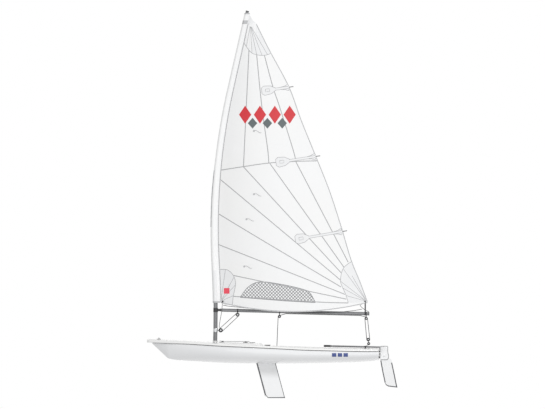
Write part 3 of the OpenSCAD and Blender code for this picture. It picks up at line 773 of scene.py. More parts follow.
def trace_mast():
    """The mast's axis as a list of height and x, walked up from its foot."""
    spot, lean = Vector((MAST_FOOT.x, MAST_FOOT.z)), LEAN
    line = [(spot.y, spot.x)]
    for length, bend in MAST_ARCS:
        steps = max(int(length / 0.02), 1)
        for _ in range(steps):
            lean += math.radians(bend) / steps / 2
            spot += length / steps * Vector((-math.sin(lean), math.cos(lean)))
            lean += math.radians(bend) / steps / 2
            line.append((spot.y, spot.x))
    return line[::-1]


MAST_LINE = trace_mast()


def read_line(line, z):
    """Reads a line of height and x, listed from its top, by straight interpolation."""
    for (z1, x1), (z0, x0) in zip(line, line[1:]):
        if z >= z0:
            return x0 + (x1 - x0) * (z - z0) / (z1 - z0)
    return line[-1][1]


def mast_x(z):
    return read_line(MAST_LINE, z)


def seam_back(z):
    return 0.087 - 0.032 * (z - FOOT_Z) / (SLEEVE_TOP - FOOT_Z)


def seam_x(z):
    return mast_x(z) - seam_back(z) - 0.0005


def sleeve_radius(z):
    return 0.048 if z < 3.0 else 0.038 + 0.010 * max(0, 3.706 - z) / 0.706


def leech_x(z):
    return fair(LEECH, z, 1)


def cloth_point(u, z, lift=0.0):
    """A point of the cloth, u from the luff seam to the leech, at row z, lifted off it to port."""
    luff = seam_x(z)
    chord = luff - leech_x(z)
    share = (z - FOOT_Z) / (HEAD_Z - FOOT_Z)
    belly = CAMBER * chord * 4 * u * (1 - u) * (1.35 - 0.7 * u)
    dip = FOOT_ROUND * 4 * u * (1 - u) * (1 - share) ** 12
    flutter = math.sin(18 * share + 2.2 * u) * 0.004 * math.sin(math.pi * u) ** 2
    return Vector((luff - u * chord, belly + flutter + lift, z - dip))


def on_cloth(x, z, lift=0.0):
    """The point of the cloth that lies beside x and z, seen from the side."""
    row = z
    for _ in range(12):
        luff = seam_x(row)
        chord = luff - leech_x(row)
        u = min(max((luff - x) / chord, 0.0), 1.0)
        share = (row - FOOT_Z) / (HEAD_Z - FOOT_Z)
        row = z + FOOT_ROUND * 4 * u * (1 - u) * (1 - max(share, 0)) ** 12
    return cloth_point(u, row, lift)


def row_curve(v):
    """Rows of the sail from foot to head, closer together near the foot."""
    return FOOT_Z + (HEAD_Z - FOOT_Z) * (0.55 * v + 0.45 * v * v)


sailcloth = Finish("white_sailcloth", (0.86, 0.865, 0.87), 0.5, Specular_IOR_Level=0.45)
spot = sailcloth.place()
fill = sailcloth.node("ShaderNodeTexWave", {"wave_type": "BANDS", "bands_direction": "Z"},
                      {"Vector": spot, "Scale": 170.0, "Distortion": 0.4})
warp = sailcloth.node("ShaderNodeTexWave", {"wave_type": "BANDS", "bands_direction": "X"},
                      {"Vector": spot, "Scale": 170.0, "Distortion": 0.4})
creases = sailcloth.noise(sailcloth.place(scale=(1.4, 1, 0.7), turn=(0, 0.5, 0)), 2.6, 9.0, 0.62)
crazed = sailcloth.node("ShaderNodeTexVoronoi", {"feature": "DISTANCE_TO_EDGE"},
                        {"Vector": sailcloth.place(scale=(1, 1, 0.6), turn=(0, 0.7, 0)), "Scale": 7.0})
crease_lines = sailcloth.ramp(crazed, 0.0, 0.035, 1.0, 0.0)
yellowed = sailcloth.ramp(sailcloth.noise(spot, 0.8, 3.0), 0.35, 0.7)
tone = sailcloth.blend(creases, (0.845, 0.85, 0.858), (0.885, 0.888, 0.89))
tone = sailcloth.blend(yellowed * 0.25, tone, (0.86, 0.855, 0.83))
sailcloth.feed("Base Color", sailcloth.blend(crease_lines * 0.10, tone, (0.74, 0.75, 0.77)))
sailcloth.feed("Roughness", 0.42 + creases * 0.2)
sailcloth.bump((fill + warp) * 0.10 + creases * 1.6 + crease_lines * 0.25, 0.0022, 0.5)

WINDOW_LOW = [(0.6338, 1.1260), (0.22, 1.095), (-0.20, 1.062), (-0.7331, 1.0314)]
WINDOW_TOP = [(0.6338, 1.1260), (0.4893, 1.3133), (0.2801, 1.4079), (-0.0964, 1.3661),
              (-0.5130, 1.2715), (-0.6385, 1.1988), (-0.7331, 1.0314)]


def curved(points, steps=8):
    """A smooth line of x and z through points chosen along it."""
    spots = [Vector(p) for p in points]
    line = []
    for k in range(len(spots) - 1):
        a, b = spots[max(k - 1, 0)], spots[k]
        c, d = spots[k + 1], spots[min(k + 2, len(spots) - 1)]
        for i in range(steps):
            t = i / steps
            line.append(0.5 * ((2 * b) + (c - a) * t + (2 * a - 5 * b + 4 * c - d) * t * t
                               + (3 * b - a - 3 * c + d) * t ** 3))
    return line + [spots[-1]]


def flat_prism(outline, low, high):
    """Solid through the sail over an outline of x and z, between two places to port."""
    bm = bmesh.new()
    face = bm.faces.new([bm.verts.new((p[0], low, p[1])) for p in outline])
    pulled(bm, [face], (0, high - low, 0))
    bmesh.ops.recalc_face_normals(bm, faces=bm.faces)
    return made("flat_prism", bm)


window_outline = curved(WINDOW_LOW, 6)[:-1] + curved(WINDOW_TOP[::-1], 6)[:-1]


def sail_point(u, v):
    return cloth_point(u, row_curve(v))


sail = add_piece("sail", lofted("sail", 90, 190, sail_point), "rig", sailcloth,
                 ["sail_luff_cloth", "sail_middle_cloth", "sail_leech_cloth"], 60)
thicken_wall(sail, CLOTH, 0)
cut(sail, flat_prism(window_outline, -0.2, 0.6))
sail.data.shade_smooth()
sail.data.set_sharp_from_angle(angle=math.radians(60))

# Seams: the panels overlap by a finger's width and are sewn with grey zigzag thread. A strip
# goes through the cloth, so that it shows on both faces.
def sail_piece(name, shape, finish):
    """Makes a piece of cloth that is sewn or stuck to the sail."""
    return add_piece(name, shape, "rig", finish, smooth=60)


def strip(name, path, width, thick=0.0030):
    """A band of even width on the sail along a line of x and z, a little proud of both faces."""
    run = stepped(path)
    gone = lengths(run)
    bm = bmesh.new()
    layer = bm.loops.layers.uv.new("UVMap")
    bmesh.ops.create_grid(bm, x_segments=1, y_segments=len(run) - 1, size=0.5)
    spot_of = {v: (v.co.x, round((v.co.y + 0.5) * (len(run) - 1))) for v in bm.verts}
    for face in bm.faces:
        for loop in face.loops:
            u, k = spot_of[loop.vert]
            loop[layer].uv = ((u + 0.5) * width, gone[k])
    for vert, (u, k) in spot_of.items():
        ahead = run[min(k + 1, len(run) - 1)] - run[max(k - 1, 0)]
        ahead.normalize()
        spot = run[k] + Vector((ahead.y, -ahead.x)) * u * width
        vert.co = on_cloth(spot.x, spot.y, -thick / 2)
    thicken(bm, thick)
    return made(name, bm)


def thicken(bm, thick):
    """Closes a sheet that lies on the sail's starboard side into a flat solid through the cloth."""
    for face in bm.faces:
        if face.normal.y > 0:
            face.normal_flip()
    pulled(bm, bm.faces[:], (0, thick, 0))
    for face in bm.faces:
        face.normal_update()
    bmesh.ops.recalc_face_normals(bm, faces=bm.faces)


def patch(name, outline, thick=0.0026, cell=0.06):
    """A piece of cloth with a free outline of x and z, sewn through the sail."""
    bm = bmesh.new()
    bm.faces.new([bm.verts.new((p[0], 0, p[1])) for p in outline])
    for axis in (0, 2):
        low = min(v.co[axis] for v in bm.verts)
        high = max(v.co[axis] for v in bm.verts)
        step = low + cell / 2
        while step < high:
            normal = Vector((0, 0, 0))
            normal[axis] = 1
            bmesh.ops.bisect_plane(bm, geom=bm.verts[:] + bm.edges[:] + bm.faces[:],
                                   plane_co=normal * step, plane_no=normal)
            step += cell
    bmesh.ops.triangulate(bm, faces=[f for f in bm.faces if len(f.verts) > 4])
    for vert in bm.verts:
        vert.co = on_cloth(vert.co.x, vert.co.z, -thick / 2)
    thicken(bm, thick)
    return made(name, bm)


def sewn(name, colour, thread):
    """Cloth tape with two rows of zigzag stitches along its UV's length."""
    finish = Finish(name, colour, 0.55)
    over, run = finish.axes(finish.place("UV"))[:2]
    wave = abs(finish.node("ShaderNodeMath", {"operation": "PINGPONG"}, {0: run, 1: 0.004}) - 0.002)
    row = abs(abs(over - 0.008) - 0.004)
    stitch = abs(row - wave) < 0.0007
    weave = finish.noise(finish.place(), 500.0, 2.0)
    soiled = finish.noise(finish.place(), 6.0, 6.0, 0.6)
    tone = finish.blend(soiled, tuple(c * 0.9 for c in colour), tuple(min(c * 1.08, 0.95) for c in colour))
    finish.feed("Base Color", finish.blend(stitch, tone, thread))
    finish.feed("Roughness", 0.45 + weave * 0.2)
    finish.bump(stitch + weave * 0.5, 0.0005, 0.6)
    return finish


seam_cloth = sewn("seam_cloth", (0.50, 0.505, 0.515), (0.2, 0.2, 0.21))
SEAMS = [
    ((0.475, 5.625), (0.540, 4.250), (0.575, 3.505)),
    ((0.335, 5.535), (0.240, 4.590), (0.135, 3.825), (0.115, 3.570)),
    ((0.195, 5.535), (0.040, 4.955), (-0.075, 4.615), (-0.325, 3.820), (-0.380, 3.590)),
    ((0.995, 3.440), (0.575, 3.505), (0.115, 3.570), (-0.380, 3.600), (-0.780, 3.610)),
    ((1.005, 3.280), (-0.325, 2.170), (-1.190, 1.440)),
    ((0.575, 3.500), (-0.650, 2.170), (-1.200, 1.575)),
    ((0.100, 3.570), (-0.900, 2.170), (-1.255, 1.670)),
    ((-0.380, 3.590), (-1.120, 2.170), (-1.330, 1.765)),
    ((1.035, 2.650), (0.240, 2.170), (-1.200, 1.315)),
    ((1.035, 2.090), (-1.275, 1.180)),
    ((0.755, 1.525), (-1.295, 1.095)),
    ((0.755, 1.145), (-0.720, 1.045), (-1.330, 1.025)),
]
seam_meshes = [strip("seam", curved(seam, 6), 0.016) for seam in SEAMS]
sail_piece("sail_seams", seam_meshes, seam_cloth)

# Leech and foot tapes bind the cut edges, and a wider tape joins the sleeve to the panels.
edge_cloth = sewn("edge_tape_cloth", (0.60, 0.605, 0.615), (0.25, 0.25, 0.26))
leech_rows = [HEAD_Z - 0.02 - k * 0.075 for k in range(67)] + [FOOT_Z + 0.02]
leech_line = [(leech_x(z) + 0.009, z) for z in leech_rows if z >= FOOT_Z]
foot_line = []
for k in range(61):
    u = 0.004 + 0.992 * k / 60
    point = cloth_point(u, FOOT_Z + 0.009)
    foot_line.append((point.x, point.z))
luff_line = [(seam_x(z) - 0.010, z) for z in [FOOT_Z + 0.01 + k * 0.0845 for k in range(61)]]
tapes = [strip("leech", leech_line, 0.018), strip("foot", foot_line, 0.018), strip("luff", luff_line, 0.016)]
sail_piece("edge_tapes", tapes, edge_cloth)

# Corner patches: three plies of cloth spread the load from the head, the tack and the clew.
ply = Finish("reinforcing_ply", (0.80, 0.806, 0.815), 0.5)
spot = ply.place()
weave = ply.noise(spot, 420.0, 2.0)
folds = ply.noise(ply.place(), 5.0, 7.0, 0.6)
ply.feed("Base Color", ply.blend(folds, (0.775, 0.782, 0.795), (0.83, 0.835, 0.84)))
ply.feed("Roughness", 0.45 + weave * 0.2)
ply.bump(weave * 0.3 + folds, 0.0012, 0.5)

CLEW_ARC = [(-1.400, 1.785), (-1.245, 1.660), (-1.190, 1.460), (-1.215, 1.335), (-1.285, 1.180),
            (-1.330, 1.030)]
TACK_ARC = [(1.008, 1.635), (0.865, 1.625), (0.760, 1.525), (0.720, 1.375), (0.760, 1.145),
            (0.775, 1.000)]
HEAD_ARC = [(0.575, 5.765), (0.445, 5.590), (0.335, 5.540), (0.195, 5.530), (0.085, 5.560)]


def inside_leech(line, low, high):
    """Closes a patch's outline along the leech between two heights."""
    rows = [low + (high - low) * k / 12 for k in range(13)]
    return line + [(leech_x(z) + 0.003, z) for z in rows]


clew_edge = curved(CLEW_ARC, 6)
clew_patch = inside_leech(clew_edge, 1.035, 1.780)
tack_edge = curved(TACK_ARC, 6)
tack_patch = tack_edge + [(0.90, 0.985), (seam_x(1.03) - 0.003, 1.035), (seam_x(1.3) - 0.003, 1.3)]
head_edge = curved(HEAD_ARC, 6)
head_patch = inside_leech(head_edge, 5.58, 6.105) + [
    (seam_x(6.10) - 0.003, 6.10), (seam_x(5.95) - 0.003, 5.95)]
plies = [patch("ply", outline) for outline in (clew_patch, tack_patch, head_patch)]
sail_piece("corner_patches", plies, ply)

# Their edges and the radial seams of the inner plies are sewn like the other seams, but finer.
CLEW = (-1.665, 1.055)
TACK = (0.985, 1.060)
HEAD = (0.450, 6.080)
fine = [strip("ply_edge", edge, 0.010, 0.0034) for edge in (clew_edge, tack_edge, head_edge)]
for corner, ends in ((CLEW, [(-1.400, 1.520), (-1.245, 1.640), (-1.190, 1.420), (-1.225, 1.300),
                             (-1.290, 1.160)]),
                     (TACK, [(0.905, 1.625), (0.745, 1.500), (0.725, 1.350), (0.755, 1.160)]),
                     (HEAD, [(0.520, 5.700), (0.420, 5.580), (0.335, 5.545), (0.240, 5.535),
                             (0.140, 5.545)])):
    for end in ends:
        fine.append(strip("ply_seam", [Vector(corner).lerp(Vector(end), 0.06), end], 0.008, 0.0034))
sail_piece("patch_seams", fine, seam_cloth)

# Battens: glass-fibre strips in sewn pockets, with a wide patch at the inner end, a smaller one
# at the leech, and a dark tip that sticks out behind.
dark_tip = grainy("batten_tip", (0.12, 0.12, 0.125), 0.4, (20.0, 5.0), (0.09, 0.09, 0.095),
                  (0.16, 0.16, 0.165), (0.32, 0.2), (0.0003, 0.4), (1, 30, 30))
BATTENS = [  # inner end, place where the pocket meets the leech, inner patch's half height
    ((0.130, 4.895), (-0.262, 4.950), 0.085),
    ((-0.130, 3.595), (-0.745, 3.690), 0.090),
    ((-0.480, 2.198), (-1.225, 2.325), 0.090),
]
pockets, edges, tips = [], [], []
for inner, outer, half in BATTENS:
    start, end = Vector(inner), Vector(outer)
    way = (end - start).normalized()
    across = Vector((way.y, -way.x))
    pockets.append(strip("pocket", [start, end], 0.040, 0.0050))
    inner_patch = [start + way * 0.14 + across * 0.022, start + way * 0.05 + across * half * 0.85,
                   start - way * 0.07 + across * half, start - way * 0.115 + across * half * 0.6,
                   start - way * 0.115 - across * half * 0.6, start - way * 0.07 - across * half,
                   start + way * 0.05 - across * half * 0.85, start + way * 0.14 - across * 0.022]
    outer_patch = [end + way * ahead + across * off for ahead, off in (
        (-0.16, 0.022), (-0.085, 0.032), (-0.015, 0.062), (-0.015, -0.062), (-0.085, -0.032),
        (-0.16, -0.022))]
    for outline in (inner_patch, outer_patch):
        pockets.append(patch("pocket_patch", outline, 0.0042))
        edges.append(strip("pocket_edge", outline + [outline[0]], 0.009, 0.0048))
    for side in (1, -1):
        edges.append(strip("pocket_line", [start + way * 0.13 + across * side * 0.020,
                                           end - way * 0.02 + across * side * 0.020], 0.007, 0.0056))
    box = [start + way * ahead + across * off for ahead, off in (
        (-0.045, 0.025), (-0.045, -0.025), (0.03, -0.025), (0.03, 0.025), (-0.045, 0.025))]
    edges.append(strip("pocket_box", box, 0.007, 0.0056))
    leech_end = Vector((leech_x(end.y), end.y))
    root = on_cloth(leech_end.x + 0.012, leech_end.y)
    tip_end = root + Vector((way.x, 0, way.y)) * 0.085
    tips.append(tube("tip", [root, root.lerp(tip_end, 0.5), root.lerp(tip_end, 0.93), tip_end],
                     lambda t: 0.0075 if t < 0.95 else 0.005, 10))
sail_piece("batten_pockets", pockets, ply)
sail_piece("pocket_seams", edges, seam_cloth)
add_piece("batten_tips", tips, "rig", dark_tip)

# Window: clear film sewn in above the foot, with a fine net laminated in.
film = Finish("window_film", (0.62, 0.64, 0.66), 0.12, IOR=1.45)
film.material.surface_render_method = "BLENDED"
along_x, _, up_z = film.axes(film.place())
net = None
for turned in (along_x + up_z, along_x - up_z):
    cell = film.node("ShaderNodeMath", {"operation": "PINGPONG"}, {0: turned, 1: 0.030})
    line = cell < 0.0075
    net = line if net is None else film.node("ShaderNodeMath", {"operation": "MAXIMUM"}, {0: net, 1: line})
haze = film.noise(film.place(), 9.0, 8.0, 0.6)
film.feed("Base Color", film.blend(net, (0.74, 0.76, 0.78), (0.17, 0.17, 0.175)))
film.feed("Alpha", 0.16 + haze * 0.10 + net * 0.6)
film.feed("Roughness", 0.10 + haze * 0.15)
film.bump(haze, 0.002, 0.35)
window = patch("sail_window", window_outline, 0.0008, 0.04)
sail_piece("sail_window", window, film)
window_tape = sewn("window_tape_cloth", (0.36, 0.365, 0.375), (0.15, 0.15, 0.16))
window_seam = strip("window_seam", window_outline + [window_outline[0]], 0.014, 0.0030)
sail_piece("window_seam", window_seam, window_tape)

# Sleeve: doubled sailcloth that slides over the mast from below and is closed over its head. It
# wrinkles round the tube, and a darker chafe strip guards it in front, half way up.
SLEEVE_AHEAD = 0.004      # its middle stands this far ahead of the mast's axis
SLEEVE_HUG = math.radians(108)
SEAM_HALF = 0.0015        # half of the gap between its two sides at the seam


def sleeve_point(share, z, proud=0.0):
    """Round the sleeve from its seam's port side, over the front, to the starboard side."""
    x, size = mast_x(z) + SLEEVE_AHEAD, sleeve_radius(z) + proud
    seam = Vector((x - SLEEVE_AHEAD - seam_back(z), SEAM_HALF))
    front = 2 * size * SLEEVE_HUG
    edge = Vector((x + size * math.cos(SLEEVE_HUG), size * math.sin(SLEEVE_HUG)))
    flank = (edge - seam).length
    gone = share * (front + 2 * flank)
    if gone < flank:
        spot = seam.lerp(edge, gone / flank)
    elif gone > flank + front:
        spot = Vector((edge.x, -edge.y)).lerp(Vector((seam.x, -SEAM_HALF)), (gone - flank - front) / flank)
    else:
        a = SLEEVE_HUG - (gone - flank) / size
        spot = Vector((x + size * math.cos(a), size * math.sin(a)))
    return Vector((spot.x, spot.y, z))


def ruck(share, z):
    """How far the cloth stands in at its wrinkles, which slant down towards the seam."""
    slack = math.sin(55 * z + 9 * math.cos(2 * math.pi * share)) * math.sin(17.3 * z + 1.3)
    return 0.0014 * slack * math.sin(math.pi * share) ** 2


def sleeve_skin(u, v):
    z = FOOT_Z + (SLEEVE_TOP - FOOT_Z) * v
    return sleeve_point(u, z, ruck(u, z) - 0.0016)


sleeve_cloth = Finish("sleeve_cloth", (0.87, 0.873, 0.876), 0.5)
spot = sleeve_cloth.place()
weave = sleeve_cloth.noise(spot, 480.0, 2.0)
crease = sleeve_cloth.noise(sleeve_cloth.place(scale=(1, 1, 4)), 7.0, 8.0, 0.62)
grime = sleeve_cloth.ramp(sleeve_cloth.noise(spot, 3.5, 6.0), 0.5, 0.8)
tone = sleeve_cloth.blend(crease, (0.845, 0.85, 0.855), (0.89, 0.892, 0.894))
sleeve_cloth.feed("Base Color", sleeve_cloth.blend(grime * 0.18, tone, (0.7, 0.7, 0.69)))
sleeve_cloth.feed("Roughness", 0.44 + weave * 0.2)
sleeve_cloth.bump(weave * 0.3 + crease * 1.4, 0.002, 0.5)

sleeve = add_piece("sail_sleeve_cloth", lofted("sail_sleeve_cloth", 40, 260, sleeve_skin), "rig",
                   sleeve_cloth, ["sail_sleeve"], 70)
thicken_wall(sleeve, 0.0012, -1)

chafe = Finish("chafe_strip", (0.42, 0.43, 0.45), 0.6)
spot = chafe.place()
weave = chafe.noise(spot, 400.0, 3.0)
rubbed = chafe.ramp(chafe.noise(chafe.place(scale=(1, 1, 0.3)), 14.0, 8.0, 0.7), 0.45, 0.7)
chafe.feed("Base Color", chafe.blend(rubbed, (0.36, 0.37, 0.39), (0.52, 0.53, 0.54)))
chafe.feed("Roughness", 0.5 + weave * 0.25)
chafe.bump(weave, 0.0006, 0.6)


def sleeve_band(name, low, high, start, end, proud, across=16, thick=0.0016):
    """A layer of cloth on the sleeve between two heights and two shares of its way round."""
    rows = max(int((high - low) / 0.025), 2)

    def skin(u, v):
        z = low + (high - low) * v
        share = start + (end - start) * u
        return sleeve_point(share, z, ruck(share, z) + proud)

    mesh = lofted(name, across, rows, skin)
    bm = opened(mesh)
    bmesh.ops.solidify(bm, geom=bm.faces[:], thickness=thick)
    put_back(bm, mesh)
    return mesh


chafe_band = sleeve_band("luff_chafe_strip", 2.410, 3.435, 0.40, 0.60, 0.0004)
sail_piece("luff_chafe_strip", chafe_band, chafe)
hems = [sleeve_band("hem", FOOT_Z, FOOT_Z + 0.030, 0.03, 0.97, 0.0002, 30),
        sleeve_band("head_band", 6.10, 6.165, 0.03, 0.97, 0.0002, 30),
        sleeve_band("head_fold", SLEEVE_TOP - 0.022, SLEEVE_TOP, 0.03, 0.97, 0.0002, 30)]
sail_piece("sleeve_hems", hems, seam_cloth)
tack_sleeve = sleeve_band("tack_ply", FOOT_Z + 0.032, 1.615, 0.06, 0.94, 0.0001, 30, 0.0010)
sail_piece("sleeve_tack_ply", tack_sleeve, ply)

# The head of the sail runs on above the panels as a narrow webbed gusset behind the sleeve.
gusset = patch("head_gusset", [(seam_x(6.09) + 0.002, 6.09), (leech_x(6.112) + 0.004, 6.112),
                               (0.405, 6.165), (0.455, 6.250), (seam_x(6.26) + 0.004, 6.262)], 0.0034, 0.05)
sail_piece("head_gusset", gusset, ply)

# Tell-tales: short wool tails stuck on with round white dots, to show the air flow.
wool = grainy("dark_wool", (0.16, 0.16, 0.17), 0.9, (700.0, 3.0), (0.11, 0.11, 0.12),
              (0.24, 0.24, 0.25), (0.85, 0.1), (0.0006, 0.7))
tails, dots = [], []
for x, z in ((0.385, 4.165), (0.385, 3.015), (0.520, 2.560), (0.560, 1.700)):
    for side in (1, -1):
        lift = side * 0.0035
        run = [on_cloth(x - 0.135 * t, z - 0.012 - 0.03 * t * t + 0.012 * math.sin(6 * t), lift)
               for t in [k / 10 for k in range(11)]]
        tails.append(tube("tail", run, 0.0022, 8))
        dots.append(disc(on_cloth(x, z - 0.012, side * 0.0018), (0, side, 0), 0.019, 0.0034, 0.0008))
add_piece("tell_tales", tails, "rig", wool)
add_piece("tell_tale_dots", dots, "rig", seam_cloth, smooth=40)

# Sail marks: a red square at the tack, and high up a plain row of red lozenges with smaller grey
# ones between them. They are cut from coloured cloth and stuck on both faces.
def marking(name, colour):
    finish = Finish(name, colour, 0.5)
    weave = finish.noise(finish.place(), 450.0, 2.0)
    faded = finish.noise(finish.place(), 7.0, 6.0, 0.6)
    finish.feed("Base Color", finish.blend(faded, tuple(c * 0.86 for c in colour),
                                           tuple(min(c * 1.1 + 0.01, 1) for c in colour)))
    finish.feed("Roughness", 0.42 + weave * 0.18)
    finish.bump(weave, 0.0004, 0.5)
    return finish


red = marking("red_mark_cloth", (0.62, 0.025, 0.035))
pale_red = marking("pale_red_mark_cloth", (0.80, 0.075, 0.115))
grey_mark = marking("grey_mark_cloth", (0.105, 0.125, 0.13))
square = patch("tack_square", [(0.932, 1.296), (0.830, 1.296), (0.830, 1.194), (0.932, 1.194)], 0.0042)
sail_piece("tack_square", square, pale_red)
MARK_X = 0.545            # middle of the first lozenge
MARK_Z = 4.45
MARK_STEP = 0.27


def lozenge(x, z, half_width, half_height):
    outline = [(x + half_width, z), (x, z - half_height), (x - half_width, z), (x, z + half_height)]
    return patch("lozenge", outline, 0.0040, 0.05)


reds = [lozenge(MARK_X - MARK_STEP * k, MARK_Z, 0.112, 0.165) for k in range(4)]
greys = [lozenge(MARK_X - MARK_STEP * (k + 0.5), MARK_Z - 0.155, 0.086, 0.098) for k in range(3)]
sail_piece("red_lozenges", reds, red)
sail_piece("grey_lozenges", greys, grey_mark)


# Eyes: pressed steel rings at the tack, where the cunningham pulls, and at the clew.
def ring(centre, normal, radius, thick):
    """A round wire ring about a point."""
    bm = bmesh.new()
    bmesh.ops.create_circle(bm, segments=12, radius=thick)
    bmesh.ops.translate(bm, verts=bm.verts, vec=(radius, 0, 0))
    bmesh.ops.rotate(bm, verts=bm.verts, cent=(radius, 0, 0), matrix=Matrix.Rotation(math.pi / 2, 3, "X"))
    bmesh.ops.spin(bm, geom=bm.verts[:] + bm.edges[:], axis=(0, 0, 1), cent=(0, 0, 0), angle=math.tau,
                   steps=32, use_merge=True)
    bmesh.ops.remove_doubles(bm, verts=bm.verts, dist=1e-6)
    put(bm, centre, normal)
    return made("ring", bm)


TACK_EYE = on_cloth(0.952, 1.062)
CLEW_EYE = on_cloth(-1.640, 1.062)
eyes = []
for spot in (TACK_EYE, CLEW_EYE):
    for side in (0.0016, -0.0016):
        eyes.append(ring(spot + Vector((0, side, 0)), (0, 1, 0), 0.011, 0.0030))
add_piece("sail_eyes", eyes, "rig", steel, smooth=60)

# Ropes: braided polyester, black with light flecks. Each runs taut between blocks and eyes.
def braid(name, dark, light, pitch=0.012):
    """Crossed strands round a rope, on its UV: once round, and metres along."""
    finish = Finish(name, dark, 0.75)
    round_it, run = finish.axes(finish.place("UV"))[:2]
    waves = []
    for way in (1, -1):
        phase = run * (1 / pitch) + round_it * (4.0 * way)
        waves.append(finish.node("ShaderNodeMath", {"operation": "PINGPONG"}, {0: phase, 1: 0.5}))
    weave = waves[0] * waves[1] * 4
    fleck = finish.ramp(finish.noise(finish.place(), 160.0, 3.0, 0.7), 0.60, 0.68)
    strands = finish.blend(weave, tuple(c * 0.6 for c in dark), dark)
    finish.feed("Base Color", finish.blend(fleck * weave, strands, light))
    finish.feed("Roughness", 0.65 + weave * 0.2)
    finish.bump(weave, 0.0010, 0.8)
    return finish


black_rope = braid("black_braided_rope", (0.022, 0.022, 0.025), (0.22, 0.22, 0.24))
ROPE = 0.0056             # the mainsheet's radius; the control lines are thinner
LINE = 0.0036
BRIDLE = 0.0045


def span(points, radius=ROPE):
    """A taut rope through points chosen along it, with a short pitch so that it stays round."""
    return tube("rope", stepped(points), radius, 10)


def rope_piece(name, shape, body):
    """Makes a piece of black rope that rides a body, or none if two bodies stretch it."""
    return add_piece(name, shape, body, black_rope, smooth=60)


def wrap(centre, radius, start, end, over=0.0, steps=12):
    """Points round a sheave, in the plane of the boat's middle, from one angle to another."""
    return [centre + Vector((radius * math.cos(a), over, radius * math.sin(a)))
            for a in [math.radians(start + (end - start) * k / steps) for k in range(steps + 1)]]


# Blocks: black moulded cheeks on a steel strap, with a grey sheave on a pin.
sheave_grey = grainy("grey_sheave", (0.2, 0.205, 0.21), 0.4, (160.0, 4.0), (0.16, 0.165, 0.17),
                     (0.27, 0.275, 0.28), (0.3, 0.2), (0.0003, 0.4))


def block_metal(centre, radius, width):
    """A pin's two heads and the steel plates round them."""
    parts = []
    for side in (1, -1):
        spot = centre + Vector((0, side * (width / 2 + 0.0002), 0))
        parts.append(disc(spot, (0, side, 0), radius * 0.34, 0.0016, 0.0005, 24))
        parts.append(dome(spot + Vector((0, side * 0.0008, 0)), (0, side, 0), radius * 0.17, 0.0014))
    return parts


def groove(centre, radius, width):
    """The sheave's rim as it shows between the cheeks."""
    bm = bmesh.new()
    half = width / 2
    profile = [(radius, -half), (radius + 0.0045, -half), (radius + 0.0008, 0.0), (radius + 0.0045, half),
               (radius, half)]
    line = [bm.verts.new((x, 0, z)) for x, z in profile]
    for a, b in zip(line, line[1:] + line[:1]):
        bm.edges.new((a, b))
    bmesh.ops.spin(bm, geom=bm.verts[:] + bm.edges[:], axis=(0, 0, 1), cent=(0, 0, 0), angle=math.tau,
                   steps=36, use_merge=True)
    bmesh.ops.remove_doubles(bm, verts=bm.verts, dist=1e-6)
    bmesh.ops.transform(bm, matrix=Matrix.Translation(centre) @ Matrix.Rotation(math.pi / 2, 4, "X"),
                        verts=bm.verts)
    bmesh.ops.recalc_face_normals(bm, faces=bm.faces)
    return made("groove", bm)


BLOCKS = {  # node: body, middle x and z, radius, width over the cheeks
    "vang_lower_block": ("rig", 0.990, 0.529, 0.040, 0.034),
    "vang_upper_block": ("rig", 0.682, 0.813, 0.036, 0.034),
    "boom_middle_block": ("rig", -0.080, 0.779, 0.028, 0.026),
    "boom_end_block": ("rig", -1.657, 0.744, 0.028, 0.026),
    "ratchet_block": ("hull", -0.055, 0.203, 0.028, 0.026),
    "traveller_block": ("hull", -1.703, 0.285, 0.028, 0.024),
    "lower_sheet_block": ("hull", -1.695, 0.360, 0.032, 0.026),
}
spot_of_block = {}
for node, (body, x, z, radius, width) in BLOCKS.items():
    middle = Vector((x, 0, z))
    spot_of_block[node] = middle
    moulded_copy(node + "_shell", node, body, fitting, 0.0009, 2)
    add_piece(node + "_pin", block_metal(middle, radius, width), body, steel, smooth=45)
    add_piece(node + "_sheave", groove(middle, radius - 0.0088, width - 0.0165), body,
              sheave_grey, smooth=45)

# Mainsheet: from the ratchet up to the middle of the boom, aft under the boom, twice down to the
# traveller, where it is made fast. Its tail is tied to the hiking strap.
RATCHET, MIDDLE_BLOCK = spot_of_block["ratchet_block"], spot_of_block["boom_middle_block"]
END_BLOCK, LOWER_BLOCK = spot_of_block["boom_end_block"], spot_of_block["lower_sheet_block"]
SHEAVE = 0.024            # from a small block's pin to the rope's middle
LOW_SHEAVE = 0.028
FALL_OVER = 0.0045        # each of the tackle's two falls is this far off the middle
fall = (wrap(RATCHET, SHEAVE, -150, 0, 0.0, 10) + wrap(MIDDLE_BLOCK, SHEAVE, 0, 80, 0.0, 8))
main_fall = rope_piece("mainsheet_fall", span(fall), None)
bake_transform(main_fall)
tail = [RATCHET + Vector((-0.021, 0, -0.012)), (-0.092, 0.004, 0.186), (-0.112, 0.010, 0.176),
        (-0.125, 0.012, 0.150), (-0.138, 0.012, 0.131)]
rope_piece("mainsheet_tail", span(tail), "hull")
run_aft = ([MIDDLE_BLOCK + Vector((0.004, 0.0085, SHEAVE))] + wrap(MIDDLE_BLOCK, SHEAVE, 95, 120, 0.0085, 3)
           + [on_boom(-0.20, -BOOM_RADIUS - 0.007, 0.0085), on_boom(-1.55, -BOOM_RADIUS - 0.007, 0.0085)]
           + wrap(END_BLOCK, SHEAVE, 110, 180, 0.0045, 6))
rope_piece("mainsheet_along_boom", span(run_aft), "rig")
tackle = []
for over, way in ((FALL_OVER, -1), (-FALL_OVER, 1)):
    tackle.append(span([LOWER_BLOCK + Vector((way * LOW_SHEAVE, over, 0)),
                        END_BLOCK + Vector((way * SHEAVE, over, 0))]))
low_wrap = wrap(LOWER_BLOCK, LOW_SHEAVE, 180, 360, 0.0, 14)
